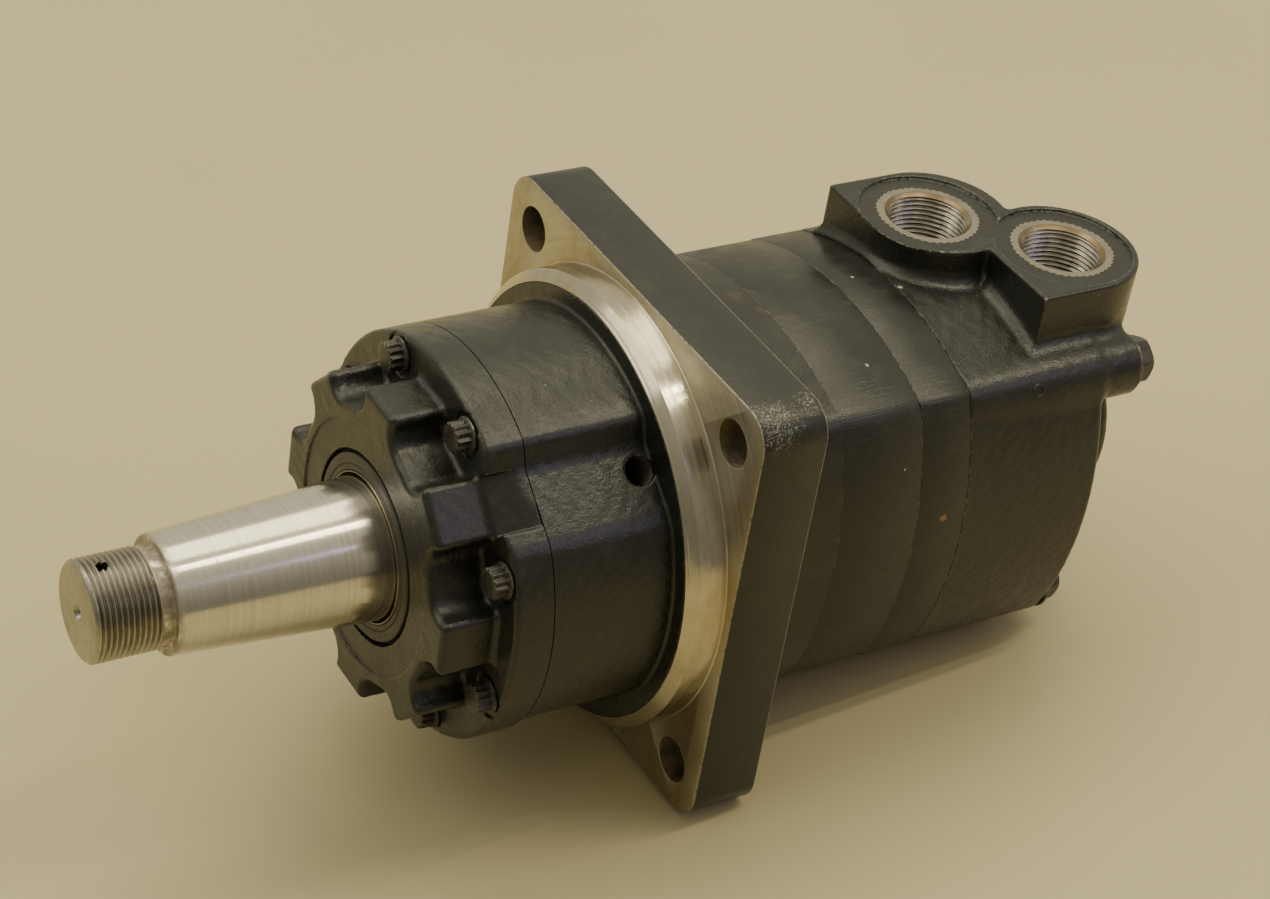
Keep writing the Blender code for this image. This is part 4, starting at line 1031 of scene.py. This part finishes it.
def bolt_black(name, wear=1.0):
    k = Nodes(name)
    w = k.attr("wear")
    edge = k.math("MULTIPLY", k.ramp(w, 0.12, 0.34), k.ramp(k.noise(520, 5, 0.6), 0.36, 0.6))
    edge = k.math("MULTIPLY", edge, wear, clamp=True)
    base = k.mix(k.ramp(k.noise(220, 4, 0.6), 0.35, 0.7), (0.024, 0.023, 0.019), (0.048, 0.044, 0.034))
    base = k.mix(edge, base, (0.34, 0.31, 0.25))
    return k.done(Base_Color=base, Roughness=k.math("SUBTRACT", 0.36, k.math("MULTIPLY", edge, 0.06)),
                  Metallic=k.math("MULTIPLY", edge, 0.8), Normal=k.bump(k.noise(800, 3, 0.6), 0.00005, 0.7))


def rusty_bore(name):
    k = Nodes(name)
    c = k.noise(170, 5, 0.7)
    base = k.mix(k.ramp(c, 0.36, 0.62), (0.075, 0.066, 0.045), (0.17, 0.125, 0.07))
    return k.done(Base_Color=base, Roughness=0.62, Metallic=0.35, Normal=k.bump(k.noise(700, 4, 0.7), 0.0001, 0.8))


def threaded_port(name):
    """Cleaned steel thread with a rust-gold lead-in at the mouth."""
    k = Nodes(name)
    s = k.new("ShaderNodeSeparateXYZ")
    k.put(s, 0, k.tc)
    mouth = k.ramp(s.outputs[2], (PORT_Z - 2.6) * MM, (PORT_Z - 1.2) * MM)
    c = k.noise(210, 5, 0.65)
    base = k.mix(k.ramp(c, 0.35, 0.7), (0.42, 0.40, 0.36), (0.26, 0.235, 0.19))
    base = k.mix(k.math("MULTIPLY", mouth, k.ramp(c, 0.2, 0.62, 0.35, 1.0)), base, (0.26, 0.19, 0.105))
    return k.done(Base_Color=base, Roughness=k.ramp(c, 0.3, 0.7, 0.28, 0.42), Metallic=1.0, Normal=k.bump(k.noise(900, 3), 0.00002, 0.6))


def seal_face(name):
    k = Nodes(name)
    c = k.noise(190, 5, 0.65)
    base = k.mix(k.ramp(c, 0.35, 0.72), (0.35, 0.32, 0.265), (0.25, 0.222, 0.175))
    return k.done(Base_Color=base, Roughness=k.ramp(c, 0.3, 0.7, 0.34, 0.5), Metallic=0.85, Normal=k.bump(k.noise(1500, 3), 0.00002, 0.6))


def put_material(ob, *mats):
    ob.data.materials.clear()
    for m in mats:
        ob.data.materials.append(m)


m_cast = paint("enamel_on_casting", cast=1.0, wear=1.0, rough=0.29, pale=[((118.1, -6.3, 74.3), 1.3, 0.8)])
m_barrel = paint("enamel_on_barrel", cast=1.0, wear=0.9, rough=0.29)
m_rear = paint("enamel_on_housing_rear", cast=0.7, wear=0.8, rough=0.34, spots=[((52.1, 9.1, 74.1), 4.2, 0.11), ((56.5, -3.8, 74.2), 3.4, 0.10),
                                                                              ((43.5, 21.0, 74.0), 3.0, 0.08)])
m_machined = paint("enamel_on_machined_ring", cast=0.55, wear=0.9, lines=0.8, rough=0.34, spots=[((106.4, -73.7, 13.8), 1.9, 0.9)],
                   pale=[((103.6, 5.7, 74.3), 0.8, 0.8), ((81.0, -40.8, 68.3), 0.8, 0.8), ((86.1, -69.1, 38.2), 0.7, 0.7)])
m_flange_side = paint("enamel_on_flange", cast=0.9, wear=1.3, rough=0.36, whole=0.12, pale=[((8.0, -86.0, 88.0), 11.0, 0.55), ((24.0, -82.0, 91.0), 6.0, 0.6)])
m_flange_face = turned_steel("bare_flange_face", colour=(0.50, 0.46, 0.37), rough=0.40, stain=0.25, aniso=0.75, line_scale=3600)
m_pilot = turned_steel("bare_pilot", colour=(0.57, 0.53, 0.44), rough=0.20, stain=0.2, aniso=0.7)
m_shaft = ground_shaft("ground_shaft")
m_bore = rusty_bore("rusty_hole")
m_rubber = rubber("seal_rubber")
m_bolt = bolt_black("bolt_enamel")
m_port = threaded_port("port_thread_steel")
m_face = seal_face("port_sealing_face")
# painted shade: the drain's thread is coloured near-black for the shade inside the hole
m_drain_painted_shade = plain_metal("drain_thread_painted_shade", (0.05, 0.045, 0.035), 0.45, metallic=0.5)
m_bearing = plain_metal("bearing_steel", (0.62, 0.62, 0.60), 0.16, dirt=0.1)
m_lip = plain_metal("seal_lip_steel", (0.30, 0.27, 0.21), 0.30, dirt=0.5)
m_inner = plain_metal("inner_steel", (0.48, 0.46, 0.42), 0.32, dirt=0.3)
m_bronze = plain_metal("bronze", (0.55, 0.38, 0.16), 0.30, dirt=0.2)

for ob in (barrel, retainer, valve, housing_rear):
    add_wear(ob, passes=1)
for ob in (ring_piece, plate_piece, flange):
    edge_faces(ob)
for ob in retainer_bolts + body_bolts:
    add_wear(ob, passes=0)
    put_material(ob, m_bolt)

put_material(barrel, m_barrel)
put_material(retainer, m_cast)
put_material(valve, m_cast)
put_material(housing_rear, m_rear)
put_material(ring_piece, m_machined)
put_material(plate_piece, m_machined)
put_material(pilot, m_pilot)
put_material(shaft, m_shaft)
put_material(dust, m_rubber)
put_material(seal_lip, m_lip)
put_material(drain, m_drain_painted_shade)
put_material(mark, m_cast)
for ob in ports:
    put_material(ob, m_face if "seal_face" in ob.name else m_port)

# the flange: bare on its front face, rusty in its holes, enamel elsewhere
put_material(flange, m_flange_side, m_flange_face, m_bore)
for p in flange.data.polygons:
    c = p.center
    hole = math.hypot(abs(c.y) - HOLE_C * MM, abs(c.z) - HOLE_C * MM)
    if p.normal.x < -0.75:
        p.material_index = 1
    elif hole < (FLANGE_HOLE_R + 0.25) * MM and abs(p.normal.x) < 0.9:
        p.material_index = 2
    elif p.normal.x < -0.5:
        p.material_index = 1

# ------------------------------------------------------------------ riding and replacing
for ob in (barrel, pilot, flange, housing_rear):
    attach(ob, "root")
    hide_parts("main_housing")
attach(drain, "root")
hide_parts("main_housing")
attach(mark, "root")
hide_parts("valve_housing")
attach(retainer, "root")
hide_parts("front_retainer")
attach(valve, "root")
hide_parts("valve_housing")
for ob in ports:
    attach(ob, "root")
    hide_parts("valve_housing")
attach(ring_piece, "root")
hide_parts("geroler_ring")
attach(plate_piece, "root")
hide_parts("valve_plate")
for k, ob in enumerate(retainer_bolts):
    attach(ob, "root")
    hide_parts("retainer_bolt_%d" % (k + 1))
for k, ob in enumerate(body_bolts):
    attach(ob, "root")
    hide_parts("body_bolt_%d" % (k + 1))
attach(shaft, "shaft")
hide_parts("output_shaft")
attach(dust, "root")
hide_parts("dust_seal")
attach(seal_lip, "root")
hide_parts("dust_seal")

by_slot = {"black_rubber": m_rubber, "bearing_steel": m_bearing, "inner_steel": m_inner, "bronze": m_bronze, "black_bolt": m_bolt,
           "ground_shaft_steel": m_shaft, "cast_black_paint": m_cast, "machined_black_paint": m_machined}
slot_of = {s["node"]: s["material_slot"] for s in frame["record"]["subparts"]}
for node, ob in frame["nodes"].items():
    ob.data.materials.clear()
    ob.data.materials.append(by_slot[slot_of[node]])

# ------------------------------------------------------------------ floor, light and camera
# the motor lies on its flange's lower edge and on the rear end of the stack, so the bench is tilted
# in the motor's own frame
slope = (-74.4 + 92.5) / (181.0 - 27.4)


def floor_z(x):
    return -92.55 + (x - 27.4) * slope


fx0, fx1, fy0, fy1 = -1100.0, 900.0, -1100.0, 1100.0
floor = mesh_object("bench", [(fx0, fy0, floor_z(fx0)), (fx1, fy0, floor_z(fx1)), (fx1, fy1, floor_z(fx1)), (fx0, fy1, floor_z(fx0))],
                    [(0, 1, 2, 3)], smooth=False)
k = Nodes("bench_top")
cloud = k.noise(2.2, 3, 0.5)
put_material(floor, k.done(Base_Color=k.mix(k.ramp(cloud, 0.3, 0.7), (0.60, 0.522, 0.310), (0.56, 0.487, 0.286)), Roughness=0.42,
                           Metallic=0.0, Normal=k.bump(k.noise(160, 4, 0.6), 0.00005, 0.4)))

# soft room light: brighter overhead and towards the far side
world = bpy.context.scene.world or bpy.data.worlds.new("studio")
bpy.context.scene.world = world
world.use_nodes = True
wt = world.node_tree
sky = wt.nodes["Background"]
way = wt.nodes.new("ShaderNodeTexCoord")
dot = wt.nodes.new("ShaderNodeVectorMath")
dot.operation = "DOT_PRODUCT"
wt.links.new(way.outputs["Generated"], dot.inputs[0])
dot.inputs[1].default_value = Vector((0.25, 0.55, 0.8)).normalized()
fade = wt.nodes.new("ShaderNodeMapRange")
fade.interpolation_type = "SMOOTHSTEP"
wt.links.new(dot.outputs["Value"], fade.inputs["Value"])
for key, value in (("From Min", -0.55), ("From Max", 1.0), ("To Min", 0.22), ("To Max", 0.80)):
    fade.inputs[key].default_value = value
wt.links.new(fade.outputs["Result"], sky.inputs[1])
sky.inputs[0].default_value = (1.0, 0.94, 0.70, 1.0)


def area(name, loc, target, size, power, colour, size_y=None):
    d = bpy.data.lights.new(name, "AREA")
    d.shape = "RECTANGLE"
    d.size, d.size_y = size, size_y or size
    d.energy, d.color = power, colour
    ob = bpy.data.objects.new(name, d)
    bpy.context.scene.collection.objects.link(ob)
    ob.location = loc
    ob.rotation_euler = (Vector(target) - Vector(loc)).to_track_quat("-Z", "Y").to_euler()
    return ob


def tube(name, loc, length, width, power, colour):
    """Long lamp along X, turned to the motor's axis."""
    ob = area(name, loc, (0, 0, 0), length, power, colour, width)
    back = Vector((0.0, loc[1], loc[2])).normalized()
    ob.rotation_euler = Matrix((Vector((1, 0, 0)), back.cross(Vector((1, 0, 0))), back)).transposed().to_euler()
    return ob


WARM = (1.0, 0.92, 0.64)
area("overhead", (0.2, 0.7, 1.9), (0, 0, 0), 1.5, 15, WARM, 1.1)
area("left", (-1.15, 0.60, 1.30), (-0.1, 0, 0), 1.3, 9.5, (1.0, 0.95, 0.74), 1.3)
tube("tube_1", (1.0, -0.36, 1.95), 1.6, 0.055, 9.5, WARM)
tube("tube_2", (1.0, -0.52, 1.90), 1.6, 0.035, 5, WARM)
tube("window", (0.95, -1.24, 1.24), 1.0, 0.16, 2.6, (0.62, 0.50, 1.0))

cam_data = bpy.data.cameras.new("camera")
cam = bpy.data.objects.new("camera", cam_data)
bpy.context.scene.collection.objects.link(cam)
cam_data.sensor_fit, cam_data.sensor_width = "HORIZONTAL", 36.0
cam_data.lens = 3010.09 / 1270 * 36.0
cam_data.clip_start, cam_data.clip_end = 0.05, 50
right, up, fwd = Vector((0.85761, -0.49530, 0.13853)), Vector((0.19110, 0.55696, 0.80826)), Vector((0.47749, 0.66669, -0.57230))
rot = Matrix((right, up, -fwd)).transposed().to_4x4()
cam.matrix_world = Matrix.Translation((-0.53489, -0.76352, 0.67300)) @ rot
bpy.context.scene.camera = cam
